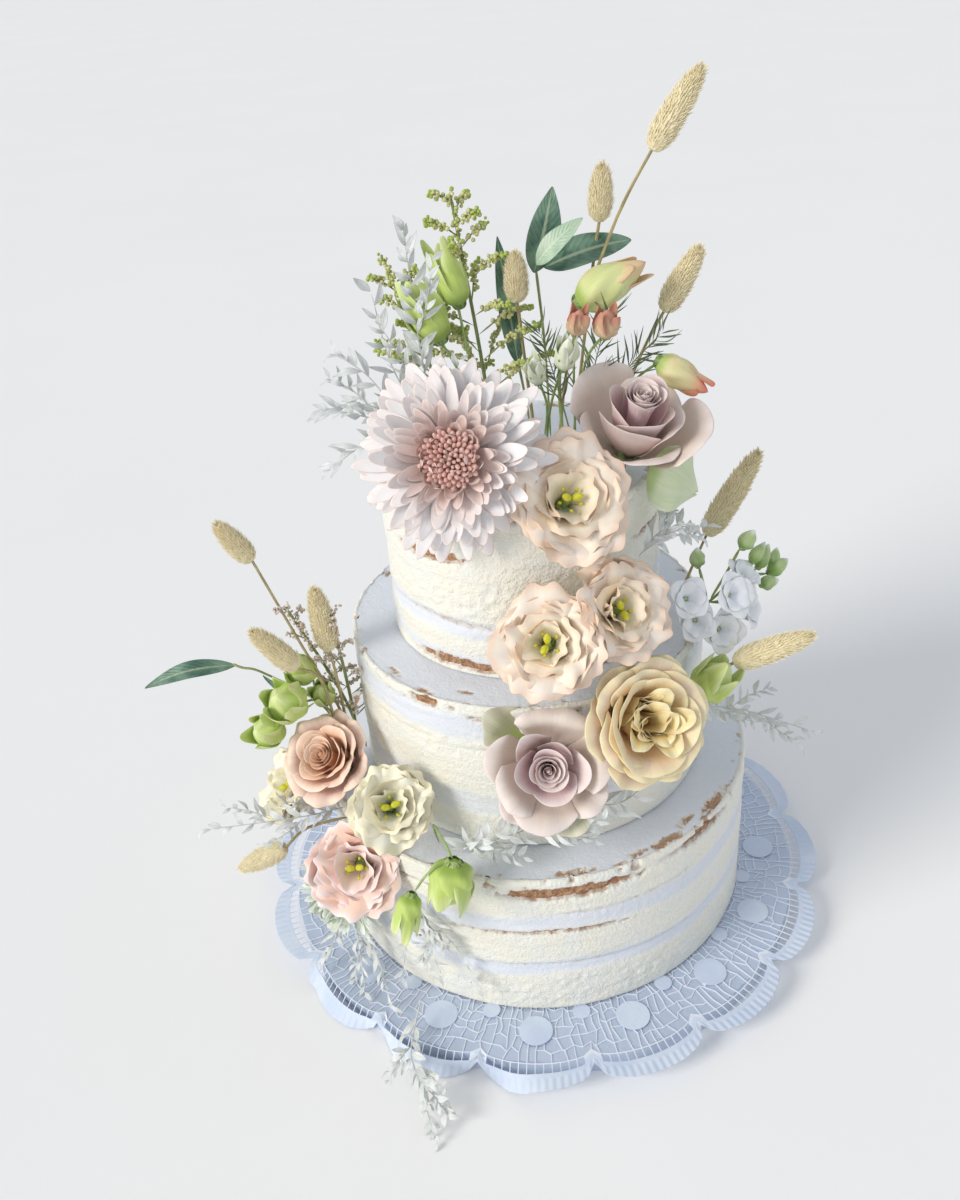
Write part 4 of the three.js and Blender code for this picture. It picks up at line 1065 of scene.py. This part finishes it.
LISIANTHUS = [
    ("lisianthus_top", "petal_blush", BLUSH, (26, -80, 312), (0.3, -0.75, 0.6),
     dict(wide=72, tall=26, seed=21), 10),
    ("lisianthus_middle", "petal_blush", BLUSH, (8, -106, 248), (-0.1, -0.8, 0.55),
     dict(wide=60, tall=24, seed=22), 70),
    ("lisianthus_right", "petal_blush", BLUSH, (50, -90, 255), (0.5, -0.7, 0.5),
     dict(wide=60, tall=22, seed=23), 130),
    ("lisianthus_ivory", "petal_ivory", IVORY, (-76, -106, 152), (0.15, -0.7, 0.7),
     dict(wide=52, tall=26, seed=24), 20),
    ("lisianthus_pink", "petal_pink", PINK, (-102, -108, 108), (-0.1, -0.85, 0.5),
     dict(wide=62, tall=24, seed=25), 0),
    ("lisianthus_left", "petal_ivory", IVORY, (-148, -56, 128), (-0.7, -0.35, 0.6),
     dict(wide=50, tall=24, seed=26), 0),
]
for name, slot, finish, at, faces, shape, roll in LISIANTHUS:
    bloom = lisianthus(**shape)
    add_calyx(bloom, shape["tall"] - 1, 3.6, 1)
    bloom.place(facing(at, faces, roll))
    bloom.finish(name, slot, [finish, SEPAL, STIGMA], smooth_levels=1)

# %% [markdown]
# ## Chrysanthemums
# The big pale mum has 264 spoon-shaped petals in one spiral of 137.508 degrees a step, and 100 closed
# florets at its heart. The inner petals are short and curl in. Further out they grow longer, open flat
# and finally hang back.


# %% Chrysanthemums
GOLDEN_ANGLE = 137.508
HEART_SHARE = 0.14


def mum(wide, tall, petals, seed, longest, broad, lean_out=98, heart=0.3, florets=0):
    """The petals of a chrysanthemum, looking along +Z, with its face at height 0. Its heart is a dome of
    florets that are still closed, like beads."""
    rng = random.Random(seed)
    bloom = Bloom()
    root_height = -tall * 0.62
    for k in range(petals):
        t = (k + 0.5) / petals
        long = (7 + (longest - 7) * t ** 0.75) * rng.uniform(0.86, 1.08)
        lean = 3 + (lean_out - 3) * t ** 0.7 + rng.uniform(-10, 10)
        bend = -26 * (1 - t) + 16 * t + rng.uniform(-26, 26)
        foot = (wide * 0.12 * math.sqrt(min(1.0, t / 0.4)), root_height + 11 * (1 - t) ** 2.5)
        reach, height = 0.0, 0.0
        line = []
        curl = 20 if t > heart else 40
        for step in range(LINE_STEPS + 1):
            line.append(Vector((foot[0] + reach, foot[1] + height)))
            angle = math.radians(lean + bend * step / LINE_STEPS - curl * (step / LINE_STEPS) ** 4)
            reach += long / LINE_STEPS * math.sin(angle)
            height += long / LINE_STEPS * math.cos(angle)
        width = (1.5 + (broad - 1.5) * t ** 0.8) * rng.uniform(0.78, 1.2)
        shape = petal_shape(
            GOLDEN_ANGLE * k + rng.uniform(-9, 9), line, width, width * rng.uniform(1.0, 1.9),
            rounding=0.32, tip=0.12, narrow=0.35, fullest=0.66, ruffle=rng.uniform(0.2, 1.1) * t, waves=1.0,
            phase=rng.uniform(0, 6.3), swirl=rng.uniform(-0.1, 0.1),
        )
        bloom.petal(4, 6, shape, t, 0, 0.3)
    for k in range(florets):
        share = math.sqrt((k + 0.5) / florets)
        turn = math.radians(GOLDEN_ANGLE * k)
        spoke = Vector((math.cos(turn), math.sin(turn), 0))
        height = 1.0 - 5.0 * share**2 + rng.uniform(-0.6, 0.6)
        at = spoke * wide * HEART_SHARE * share + Vector((0, 0, height))
        size = (1.05 + 0.75 * share) * rng.uniform(0.85, 1.15)
        bloom.grain(at, size, 0.3 * share, 0, 2.3, spoke * 1.1 * share + Vector((0, 0, 1)))

    def cup(turn, along):
        return wide * HEART_SHARE * math.sin(math.pi * min(0.995, 0.005 + along)) ** 0.5

    bloom.closed(16, 8, cup, (0, 0, -tall), (0, 0, root_height + 3), 0.5, 1)
    return bloom


MUMS = [
    ("mum_blush", "petal_mum", MUM, (-31, -86, 337), (-0.05, -0.9, 0.42), dict(
        wide=90, tall=30, petals=264, seed=31, longest=39, broad=5.6, florets=100)),
    ("mum_white", "petal_green_white", PALE_GREEN, (-122, -92, 64), (-0.5, -0.75, -0.1), dict(
        wide=56, tall=18, petals=100, seed=32, longest=25, broad=3.2, lean_out=92)),
]
for name, slot, finish, at, faces, shape in MUMS:
    bloom = mum(**shape)
    below = -shape["tall"]
    bloom.tube([(0, 0, below + 2), (0, 0, below - 6), (0, -1, below - 14)], 2.0, 0.5, 1)
    bloom.place(facing(at, faces))
    bloom.finish(name, slot, [finish, SEPAL], smooth_levels=1)

# %% [markdown]
# ## Stock
# A spike of stock carries small blooms of round, soft petals and green buds above them. Each bloom is two
# rings of four petals round a green heart.

# %% Stock
RIDGES, RIDGE_DEPTH, BUD_TWIST = 5, 0.13, 2.2
# Each bloom: where it is, which way it looks, and its width.
STOCK_BLOOMS = [
    ((110, -46, 232), (0.55, -0.7, 0.5), 27), ((121, -36, 218), (0.8, -0.4, 0.3), 26),
    ((104, -50, 212), (0.35, -0.8, 0.35), 27), ((84, -56, 238), (0.3, -0.75, 0.6), 24),
    ((88, -56, 222), (0.1, -0.85, 0.3), 23), ((118, -26, 234), (0.5, -0.2, 0.8), 22),
]
STOCK_BUDS = [((134, -8, 220), (146, -3, 226), 9), ((127, -12, 226), (134, -6, 238), 8),
              ((116, -20, 244), (122, -22, 256), 9), ((92, -26, 238), (91, -28, 251), 8),
              ((128, -16, 218), (138, -18, 222), 8), ((122, -16, 232), (130, -14, 244), 7),
              ((136, -6, 222), (140, 0, 232), 7)]
STOCK_ROOT = (98, -28, 216)
STOCK_STEMS = [
    [(135, -8, 220), (118, -14, 222), STOCK_ROOT, (86, -36, 206)],
    [(116, -20, 246), (108, -22, 230), STOCK_ROOT],
    [(92, -26, 240), STOCK_ROOT], [(84, -50, 232), STOCK_ROOT],
    [(127, -12, 227), (122, -13, 222), (118, -14, 222)],
    [(108, -42, 226), STOCK_ROOT], [(116, -32, 218), STOCK_ROOT],
    [(122, -16, 233), (119, -14, 224), (112, -17, 221)],
]


def bud_radius(wide):
    """Returns the radius of a closed twisted bud at a turn and a share of its length."""
    def radius_at(turn, along):
        body = math.sin(math.pi * min(1.0, along) ** 0.8) ** 0.75 * (1 - 0.35 * along)
        closed_end = min(1.0, 14 * along + 0.01, 14 * (1 - along) + 0.01)
        ridge = RIDGE_DEPTH * math.cos(RIDGES * (turn + BUD_TWIST * along))
        return wide / 2 * 1.2 * body * closed_end * (1 + ridge)
    return radius_at


def add_bud(bloom, base, tip, wide, finish=0, sepals=5, crown=0, spread=0.0, open_to=0.52):
    """A bud with its sepals. `crown` petals open round it as far as `open_to`, a share of its width."""
    bloom.closed(20, 12, bud_radius(wide), base, tip, 0.5, finish)
    place = facing(base, Vector(tip) - Vector(base))
    long = (Vector(tip) - Vector(base)).length
    for k in range(crown):
        rim = long * (0.74 + 0.5 * open_to + 0.1 * math.sin(4.0 * k + long))
        line = petal_line((wide * 0.16, long * 0.1), (wide * open_to, rim), 62, -104, 24)
        shape = petal_shape(360 * k / crown + 9 * long, line, wide * 0.36, wide * 0.44, 0.5, 0.2, ruffle=1.3,
                            waves=1.3, phase=1.9 * k + long, narrow=0.5, point=1.3, swirl=0.15)
        bloom.petal(8, 8, placed(shape, place), 0.5, finish, 0.5)
    for k in range(sepals):
        rim = (wide * (0.54 + 0.3 * spread), long * (0.72 + 0.12 * math.sin(5 * k)))
        line = petal_line((wide * 0.12, -0.6), rim, 62, -60 + 40 * spread)
        shape = petal_shape(360 * k / sepals + 14, line, wide * 0.19, wide * 0.4, 0.9, 0.1, point=1.4)
        bloom.petal(2, 6, placed(shape, place), 0.5, 1, 0.4)


STOCK_BUD = petal_finish("stock_bud", tint(132, 164, 84), tint(184, 204, 146), tint(250, 251, 252),
                         heart_until=0.5)
stock = Bloom()
rng = random.Random(41)
for at, faces, wide in STOCK_BLOOMS:
    place = facing(at, faces, rng.uniform(0, 90))
    for ring, (count, share) in enumerate(((4, 1.0), (4, 0.72))):
        for k in range(count):
            line = petal_line((0.6, -wide * 0.4), (wide / 2 * share, -1.0 + ring * 0.5), 12, 72, 30)
            width = wide * 0.34 * share
            shape = petal_shape(90 * k + 45 * ring + rng.uniform(-12, 12), line, width, wide * 0.5, 0.3, 0.02,
                                ruffle=0.9, waves=1.6, phase=rng.uniform(0, 6.3), narrow=0.2)
            stock.petal(7, 6, placed(shape, place), 0.6 * ring, 0, 0.3)
    heart = (place @ Vector((0, 0, -wide * 0.3 * MM))) / MM
    stock.grain(heart, 1.5, 0.5, 1)
for base, tip, wide in STOCK_BUDS:
    add_bud(stock, base, tip, wide, 2, 4, spread=0.2)
for route in STOCK_STEMS:
    stock.tube(route, 1.1, 0.5, 1)
stock.finish("stock_spike", "petal_white", [WHITE, SEPAL, STOCK_BUD], smooth_levels=1)

# %% [markdown]
# ## Bunny tails
# The seed head of a bunny tail grass is a soft oval of fine bristles that point up to its tip. The head
# is a ball of small faces. Each face is made narrower and pulled out into a bristle, so a few calls grow
# all the fur. A tail is given by the base and the tip of its head, and the points of its stem below that.

# %% Bunny tails
FUR = Finish("tail_fur", 0.8, sheen_weight=0.5)
reach = FUR.attribute("along")
straw = FUR.mix(FUR.noise(3.0).rise(0.3, 0.7), tint(226, 210, 164), tint(242, 230, 192))
FUR.colour(FUR.mix(reach.rise(0.2, 1.0) * 0.65, straw, tint(252, 244, 216)))
FUR.bump(FUR.noise(0.8), 0.3, 0.6)
DRY_STEM = leaf_finish("dry_stem", tint(150, 132, 84), tint(190, 172, 118), 0.6)
TAILS = {
    "top_right": ((71, 20, 440), (95, 20, 477), [(52, 6, 411), (30, 8, 350), (22, 8, 299)]),
    "top_upright": ((46, 20, 409), (48, 20, 438), [(42, 18, 385), (30, 14, 299)]),
    "top_left": ((4, 4, 377), (4, 4, 404), [(6, 8, 350), (10, 12, 299)]),
    "top_side": ((78, 20, 362), (97, 20, 396), [(66, 18, 340), (50, 16, 299)]),
    "right_upper": ((102, 8, 237), (130, 10, 288), [(92, 0, 218), (86, -6, 206)]),
    "right_lower": ((106, -60, 198), (148, -64, 217), [(96, -60, 192), (84.5, -58, 184)]),
    "left_upper": ((-140, -40, 265), (-156, -40, 290),
                   [(-124, -40, 215), (-108, -36, 160), (-106, -30, 114)]),
    "left_upright": ((-108, -40, 207), (-111, -40, 249), [(-106, -40, 175), (-106, -36, 114)]),
    "left_middle": ((-122, -60, 210), (-144, -60, 237), [(-112, -50, 190), (-110, -42, 114)]),
    "left_lower": ((-142, -82, 104), (-173, -82, 88), [(-130, -76, 112), (-104, -70, 114)]),
}
FUR_ACROSS, FUR_ALONG = 28, 36
BRISTLE_MM = (1.7, 3.6)
BRISTLE_GAP_MM = 0.22
BRISTLE_TIP = 0.12


def add_tail(name, base, tip, route):
    rng = random.Random(name)
    bloom = Bloom()
    base, tip = Vector(base), Vector(tip)
    axis = (tip - base).normalized()
    long = (tip - base).length
    wide = min(16.5, 11.3 + 0.1 * long)

    def core(turn, along):
        off = min(1.0, abs(2 * min(1.0, max(0.0, along)) ** 0.85 - 1))
        return (wide / 2 - 1.3) * math.sqrt(1 - off**2.6) * (1 - 0.3 * along)

    verts = bloom.closed(FUR_ACROSS, FUR_ALONG, core, base, tip - axis * 3.0)
    for vert in verts:
        vert[bloom.along] = 0.0
        vert.co += 0.3 * MM * noise.noise_vector(vert.co / MM)
    faces = faces_of(verts)
    bmesh.ops.recalc_face_normals(bloom.mesh, faces=faces)
    bmesh.ops.inset_individual(bloom.mesh, faces=faces, thickness=BRISTLE_GAP_MM * MM)
    bristles = bmesh.ops.extrude_discrete_faces(bloom.mesh, faces=faces)["faces"]
    for face in sorted(bristles, key=middle_of):
        middle = face.calc_center_median()
        way = face.normal * 0.5 + axis * 0.9 + 0.26 * noise.random_unit_vector()
        end = middle + way.normalized() * rng.uniform(*BRISTLE_MM) * MM
        for vert in face.verts:
            vert.co = end + (vert.co - middle) * BRISTLE_TIP
            vert[bloom.along] = 1.0
    for face in bloom.mesh.faces:
        face.smooth = False
    bloom.tube([base + axis * 2.5, base, *[Vector(point) for point in route]], 0.75, 0.5, 1, taper=1.2)
    bloom.finish(name, "grass", [FUR, DRY_STEM])


for name, (base, tip, route) in TAILS.items():
    add_tail("tail_" + name, base, tip, route)

# %% [markdown]
# ## Leaves
# A leaf is a sheet along a curved line, widest below its middle and folded a little at its midrib. Each
# blade has its start, its end, its width, the way that its face looks, and how high it arches. Each node
# also has the route of its stem, if it has one, and how pointed its blades are: 1 is pointed, and less is
# blunter.


# %% Leaves
TABLE_CLEAR = 0.8
LEAF_END = 0.04


def add_leaf(bloom, start, end, wide, side, arch=3.0, fold=0.22, tone=0.5, columns=6, rows=12, wave=0.3,
             fullest=0.8, thick=0.4, blunt=1.0):
    """A leaf that stays clear of the table, with its face towards `side`."""
    start, end = Vector(start), Vector(end)
    line = end - start
    across_way = line.cross(Vector(side)).normalized()
    up = across_way.cross(line).normalized()

    def shape(across, along):
        full = math.sin(math.pi * min(1.0, max(0.0, along)) ** fullest)
        half = wide / 2 * max(LEAF_END, max(0.0, full) ** blunt)
        lift = arch * math.sin(math.pi * along) + fold * half * abs(across)
        lift += wave * math.sin(11 * along + 3 * across) * abs(across)
        spot = start + line * along + across_way * (across * half) + up * lift
        spot.z = max(spot.z, TABLE_CLEAR)
        return spot

    bloom.petal(columns, rows, shape, tone, 0, thick)


SAGE = leaf_finish("sage_leaf", tint(160, 188, 160), tint(200, 216, 192), vein=0.08)
LIME = petal_finish("lime_bud", tint(150, 178, 76), tint(194, 214, 116), tint(228, 236, 172), rim=0.55)
LEAVES = {
    "leaf_top_upright": (GREEN, [((13, 15, 388), (24, 22, 427), 17, (0.2, -1, 0.2), 3)],
                         [(14, 15.4, 392), (17, 15, 350), (18, 10, 299)], 0.8),
    "leaf_top_right": (GREEN, [((18, 12, 391), (62, 22, 399), 18, (0.1, -0.6, 0.8), 3)], None, 0.62),
    "leaf_top_pale": (SAGE, [((14, 4, 395), (37, 2, 416), 11, (-0.5, -0.8, 0.3), 3)], None, 0.7),
    "leaf_top_dark": (GREEN, [((3, 17, 340), (-4, 16, 407), 11, (0, -1, 0.1), 3)],
                      [(2, 17, 348), (6, 16, 320), (8, 14, 299)], 0.7),
    "leaf_left_long": (GREEN, [((-160, -42, 202), (-211, -48, 194), 11, (0, -0.5, 0.9), 7),
                               ((-130, -34, 178), (-146, -44, 196), 8, (-0.5, -0.8, 0.1), 3)],
                       [(-162, -42, 203), (-157, -42, 200), (-146, -40, 194), (-118, -30, 160),
                        (-110, -24, 114)], 0.8),
    "leaf_front_small": (LIME, [((-3, -104, 160), (0, -122, 143), 9, (0, -0.7, 0.7), 3)], None, 0.8),
}
for name, (finish, blades, route, blunt) in LEAVES.items():
    bloom = Bloom()
    for blade in blades:
        add_leaf(bloom, *blade, blunt=blunt)
    if route:
        bloom.tube(route, 0.9, 0.5, 1)
    bloom.finish(name, "leaf", [finish, STEM], smooth_levels=1)
green_petal = Bloom()
add_leaf(green_petal, (62, -48, 308), (88, -36, 287), 34, (0.4, -0.8, 0.3), 5, 0.1, wave=1.6, fullest=0.62,
         columns=10)
green_petal.finish("petal_top_green", "leaf_pale", [ROUND_LEAF], smooth_levels=1)

# %% [markdown]
# ## Buds
# Lisianthus buds are twisted shut like a rolled umbrella, with narrow sepals pressed on them. The same
# closed body is used for all of them, and only the size, the place and the finish change. Most of these
# open a little, so a crown of petals stands round the body. Each bud has its base, its tip and its width.

# %% Buds
TIPPED = petal_finish("tipped_bud", tint(176, 196, 110), tint(224, 216, 164), tint(222, 112, 96), rim=0.5)
GREEN_BUD = petal_finish("green_bud", tint(168, 192, 96), tint(216, 222, 156), tint(228, 180, 150), rim=0.6)
RUSSET = petal_finish("russet_bud", tint(176, 178, 110), tint(214, 184, 150), tint(206, 130, 114), rim=0.5)
ICE = petal_finish("ice_bud", tint(168, 186, 132), tint(226, 230, 204), tint(238, 240, 230))
BUDS = {
    "bud_top_large": (GREEN_BUD, [((32, 2, 375), (67, 0, 394), 20)],
                      [[(36, 2, 377), (24, 4, 345), (24, -2, 299)]]),
    "buds_top_pink": (RUSSET, [((31, -18, 366), (33, -22, 380), 10), ((45, -18, 364), (46, -22, 379), 12)],
                      [[(31, -18, 368), (30, -10, 345), (30, -8, 299)],
                       [(45, -18, 366), (36, -10, 350), (31, -9, 320)]]),
    "bud_top_side": (TIPPED, [((70, -14, 350), (95, -22, 334), 15)],
                     [[(72, -14, 349), (60, 4, 330), (50, 6, 299)]]),
    "buds_top_pale": (ICE, [((24, -26, 352), (27, -32, 370), 10), ((12, -26, 346), (10, -32, 362), 9)],
                      [[(24, -26, 354), (18, -14, 330), (14, -10, 299)],
                       [(12, -26, 348), (16, -16, 330), (14, -11, 310)]]),
    "buds_top_lime": (LIME, [((-34, 2, 360), (-50, 4, 392), 19), ((-24, 6, 376), (-33, 8, 408), 16)],
                      [[(-37, 2, 364), (-26, 2, 340), (-18, 2, 299)],
                       [(-26, 6, 382), (-22, 4, 350), (-19, 2, 310)]]),
    "bud_right_green": (LIME, [((86, -68, 184), (104, -66, 202), 21)], [[(88, -68, 186), (82, -64, 176)]]),
    "buds_left_lime": (LIME, [
        ((-130, -49, 176), (-136, -64, 196), 22), ((-142, -48, 161), (-152, -62, 171), 19),
        ((-122, -32, 186), (-130, -46, 204), 16), ((-116, -34, 170), (-116, -46, 186), 13),
    ], [
        [(-131, -51, 178), (-122, -30, 166), (-112, -22, 140), (-108, -20, 114)],
        [(-143, -50, 162), (-134, -34, 160), (-122, -30, 166)],
        [(-122, -32, 188), (-122, -30, 166)],
        [(-116, -34, 172), (-122, -30, 166)],
    ]),
    "buds_hanging_lime": (LIME, [
        ((-44, -130, 136), (-49, -136, 109), 22), ((-67, -134, 118), (-73, -142, 95), 13),
    ], [
        [(-44, -130, 134), (-50, -120, 142), (-56, -102, 134), (-54, -98, 115)],
        [(-67, -134, 116), (-60, -134, 128), (-52, -133, 136), (-44, -130, 134)],
    ]),
}
# How each kind opens: the petals of its crown, how far its sepals spread, and how far the crown opens.
OPENINGS = {LIME: (5, 0.25, 0.52), ICE: (5, 1.0, 0.52), RUSSET: (4, 0.25, 0.52), GREEN_BUD: (3, 0.25, 0.36),
            TIPPED: (3, 0.25, 0.36)}
THICK_STEMS = {"bud_top_large": 1.5}
for name, (finish, buds, stems) in BUDS.items():
    bloom = Bloom()
    crown, spread, open_to = OPENINGS[finish]
    for base, tip, wide in buds:
        add_bud(bloom, base, tip, wide, crown=crown, spread=spread, open_to=open_to)
    for route in stems:
        bloom.tube(route, THICK_STEMS.get(name, 0.9), 0.5, 1)
    bloom.finish(name, "bud", [finish, SEPAL], smooth_levels=1)

# %% [markdown]
# ## Sprays
# Goldenrod and dried astilbe are plumes: a main stem, side twigs that get shorter towards the tip, and
# round grains along each twig. One grain is an icosphere of twenty faces, which is enough at its size. A
# plume has its finish, its slot, the route of its stem, its number of twigs, and the length of a twig and
# the radius of a grain in millimetres.

# %% Sprays
GOLDENROD = Finish("goldenrod_grain", 0.7)
ripe = GOLDENROD.mix(GOLDENROD.noise(1.8).rise(0.35, 0.65), tint(168, 172, 96), tint(226, 222, 168))
GOLDENROD.colour(GOLDENROD.mix(GOLDENROD.attribute("tone").rise(0.6, 1.0) * 0.7, ripe, tint(150, 178, 60)))
GOLDENROD.bump(GOLDENROD.noise(0.6), 0.3, 0.7)
ASTILBE = Finish("astilbe_grain", 0.8)
ASTILBE.colour(ASTILBE.mix(ASTILBE.noise(2.5).rise(0.3, 0.7), tint(188, 170, 150), tint(232, 220, 208)))
ASTILBE.bump(ASTILBE.noise(0.6), 0.3, 0.7)


FIRST_TWIG, LAST_TWIG = 0.3, 0.97
TOP_GRAINS = 60


def add_plume(bloom, route, twigs, long, grain, rng):
    line = smooth_line([Vector(point) for point in route])
    bloom.tube(route, 1.1, 0.5, 1)
    for k in range(twigs):
        share = FIRST_TWIG + (LAST_TWIG - FIRST_TWIG) * k / (twigs - 1)
        root, _ = line_at(line, share)
        turn = 2.4 * k + rng.uniform(-0.5, 0.5)
        out = Vector((math.cos(turn), 0.62 * math.sin(turn), rng.uniform(0.25, 0.7))).normalized()
        reach = long * (1.15 - 0.9 * share) * rng.uniform(0.8, 1.15)
        middle = root + out * reach * 0.55 + Vector((0, 0, 0.1 * reach))
        end = root + out * reach
        bloom.tube([root, middle, end], 0.45, 0.5, 1, columns=4)
        twig = smooth_line([root, middle, end])
        count = int(reach * 1.7)
        for step in range(count):
            ahead = 0.3 + 0.72 * step / max(1, count - 1)
            at, _ = line_at(twig, ahead)
            off = noise.random_unit_vector() * rng.uniform(0.6, 2.6)
            bloom.grain(at + off, grain * rng.uniform(0.65, 1.1), ahead)
    for step in range(TOP_GRAINS):
        at, _ = line_at(line, 0.74 + 0.26 * step / (TOP_GRAINS - 1))
        at = at + noise.random_unit_vector() * 2.0
        bloom.grain(at, grain * rng.uniform(0.7, 1.1), rng.uniform(0.5, 1.0))


PLUMES = {
    "top": (GOLDENROD, "spray", [(-12, 12, 299), (-16, 10, 350), (-25, 10, 431)], 21, 46, 1.3),
    "top_left": (GOLDENROD, "spray", [(-30, 14, 299), (-44, 12, 350), (-58, 8, 396)], 15, 38, 1.2),
    "left_outer": (ASTILBE, "dried", [(-102, -10, 114), (-110, -24, 170), (-127, -44, 240)], 13, 30, 0.95),
    "left_inner": (ASTILBE, "dried", [(-106, -12, 114), (-103, -30, 170), (-104, -42, 232)], 12, 24, 0.95),
}
for name, (finish, slot, route, twigs, long, grain) in PLUMES.items():
    bloom = Bloom()
    add_plume(bloom, route, twigs, long, grain, random.Random("spray_" + name))
    bloom.finish("spray_" + name, slot, [finish, STEM])

# %% [markdown]
# ## Bleached ruscus and needles
# The white twigs are preserved ruscus: thin papery leaves in two rows, bleached to silver white, each one
# a little curled. The needles behind the top rose are the same twig with very narrow green leaves. A
# sprig has the routes of its stems, its number of leaves on the first, their length and width, the way
# they look and its slot.

# %% Bleached ruscus
BLEACHED = leaf_finish("bleached_leaf", tint(226, 231, 228), tint(248, 250, 250), 0.5, 0.1)
WHITE_STEM = leaf_finish("white_stem", tint(216, 216, 210), tint(238, 238, 234), 0.6, 0.1)
NEEDLE = leaf_finish("needle", tint(82, 104, 74), tint(128, 146, 110), 0.5)
LEVEL, UPRIGHT = (0, -0.6, 0.8), (0, -1, 0.2)
SPRIGS = {
    "ruscus_top_high": ([
        [(-34, -10, 299), (-44, -8, 350), (-48, 0, 418)],
        [(-36, -12, 310), (-58, -12, 350), (-66, -8, 392)],
    ], 34, 18, 4.2, UPRIGHT, "bleached"),
    "ruscus_top_left": ([
        [(-40, -30, 299), (-62, -24, 335), (-96, -20, 338)],
        [(-44, -30, 306), (-66, -26, 350), (-84, -22, 366)],
        [(-50, -30, 314), (-72, -40, 326), (-92, -44, 316)],
    ], 24, 17, 4.0, LEVEL, "bleached"),
    "ruscus_right_upper": ([
        [(56, -56, 262), (70, -52, 276), (94, -34, 266)],
    ], 15, 13, 4.0, LEVEL, "bleached"),
    "ruscus_right_lower": ([
        [(86, -55, 166), (112, -50, 160), (156, -46, 138)],
    ], 16, 15, 3.8, LEVEL, "bleached"),
    "ruscus_left": ([
        [(-108, -62, 114), (-134, -76, 120), (-182, -84, 122)],
    ], 16, 15, 3.8, LEVEL, "bleached"),
    "ruscus_ledge": ([
        [(-50, -104, 117), (-14, -110, 132), (28, -108, 150)],
        [(26, -108, 149), (44, -113, 154), (68, -98, 166)],
        [(-4, -110, 135), (10, -126, 148), (32, -130, 158)],
        [(-34, -107, 122), (-36, -120, 136), (-20, -128, 152)],
    ], 22, 16, 4.4, (0, -0.9, 0.4), "bleached"),
    "sprig_hanging_front": ([
        [(-70, -112, 92), (-64, -117, 74), (-60, -124, 42)],
        [(-72, -112, 88), (-76, -114, 66), (-82, -118, 34)],
        [(-68, -113, 84), (-50, -122, 64), (-40, -126, 38)],
    ], 18, 14, 3.0, (-0.4, -0.9, 0), "bleached"),
    "sprig_hanging_left": ([
        [(-112, -84, 60), (-110, -88, 36), (-106, -112, 15)],
        [(-114, -82, 56), (-122, -84, 36), (-132, -92, 18)],
        [(-110, -86, 52), (-96, -106, 34), (-90, -124, 18)],
    ], 18, 14, 3.0, (-0.6, -0.7, 0.3), "bleached"),
    "sprig_trailing": ([
        [(-70, -122, 30), (-77, -150, 17), (-73, -167, 14), (-64, -176, 10), (-56, -187, 9)],
    ], 26, 14, 4.2, (-0.3, -0.4, 0.8), "bleached"),
    "needles_top": ([
        [(40, 0, 299), (52, -4, 335), (76, 4, 358)],
        [(34, -6, 299), (38, -8, 335), (48, -6, 374)],
        [(30, -4, 299), (22, -4, 335), (14, -6, 366)],
    ], 38, 22, 1.1, UPRIGHT, "needles"),
}
# What each kind is made of, where on its stem the first leaf grows, and how many small branches it has.
KINDS = {"bleached": ([BLEACHED, WHITE_STEM], 0.12, 3), "needles": ([NEEDLE, STEM], 0.35, 0)}
SIDE_ROUTE_LEAVES = 12


def add_twig(bloom, route, leaves, long, wide, side, rng, first, branches=0):
    """A stem with leaves on both sides. Its branches are smaller twigs of the same kind."""
    line = smooth_line([Vector(point) for point in route])
    whole = line_length(line)
    bloom.tube(route, 0.6, 0.5, 1, columns=5, taper=0.5)
    for k in range(leaves):
        share = first + (0.99 - first) * k / (leaves - 1)
        root, way = line_at(line, share)
        across = side.cross(way).normalized() * (1 if k % 2 else -1)
        out = way * rng.uniform(0.5, 1.2) + across * rng.uniform(0.3, 0.9)
        out += side.normalized() * rng.uniform(-0.6, 0.7)
        reach = long * (1 - 0.35 * share) * rng.uniform(0.65, 1.2)
        lie = side + across * rng.uniform(-0.9, 0.9)
        add_leaf(
            bloom, root, root + out.normalized() * reach, wide * rng.uniform(0.7, 1.2), lie,
            reach * rng.uniform(-0.05, 0.22), fold=0.3, tone=rng.random(), columns=2, rows=6, fullest=0.85,
            thick=0.25,
        )
    for k in range(branches):
        root, way = line_at(line, 0.25 + 0.6 * k / branches)
        across = side.cross(way).normalized() * (1 if k % 2 else -1)
        out = (way + across * rng.uniform(0.5, 1.0) + side.normalized() * rng.uniform(-0.2, 0.5)).normalized()
        reach = min(26.0, whole * 0.26) * rng.uniform(0.8, 1.2)
        end = root + out * reach + way * reach * 0.3
        end.z = max(end.z, 4 * TABLE_CLEAR)
        add_twig(bloom, [root, root + out * reach * 0.55, end], 9, long * 0.7, wide * 0.8, side, rng, 0.2)


def add_sprig(name, routes, leaves, long, wide, side, slot):
    """The twigs of one piece. Only the first twig of a bleached one has branches and all the leaves."""
    rng = random.Random(name)
    bloom = Bloom()
    finishes, first, branches = KINDS[slot]
    for part, route in enumerate(routes):
        side_route = part > 0 and slot == "bleached"
        count = SIDE_ROUTE_LEAVES if side_route else leaves
        add_twig(bloom, route, count, long, wide, Vector(side), rng, first, 0 if side_route else branches)
    bloom.finish(name, slot, finishes, smooth_levels=1)


for name, values in SPRIGS.items():
    add_sprig(name, *values)
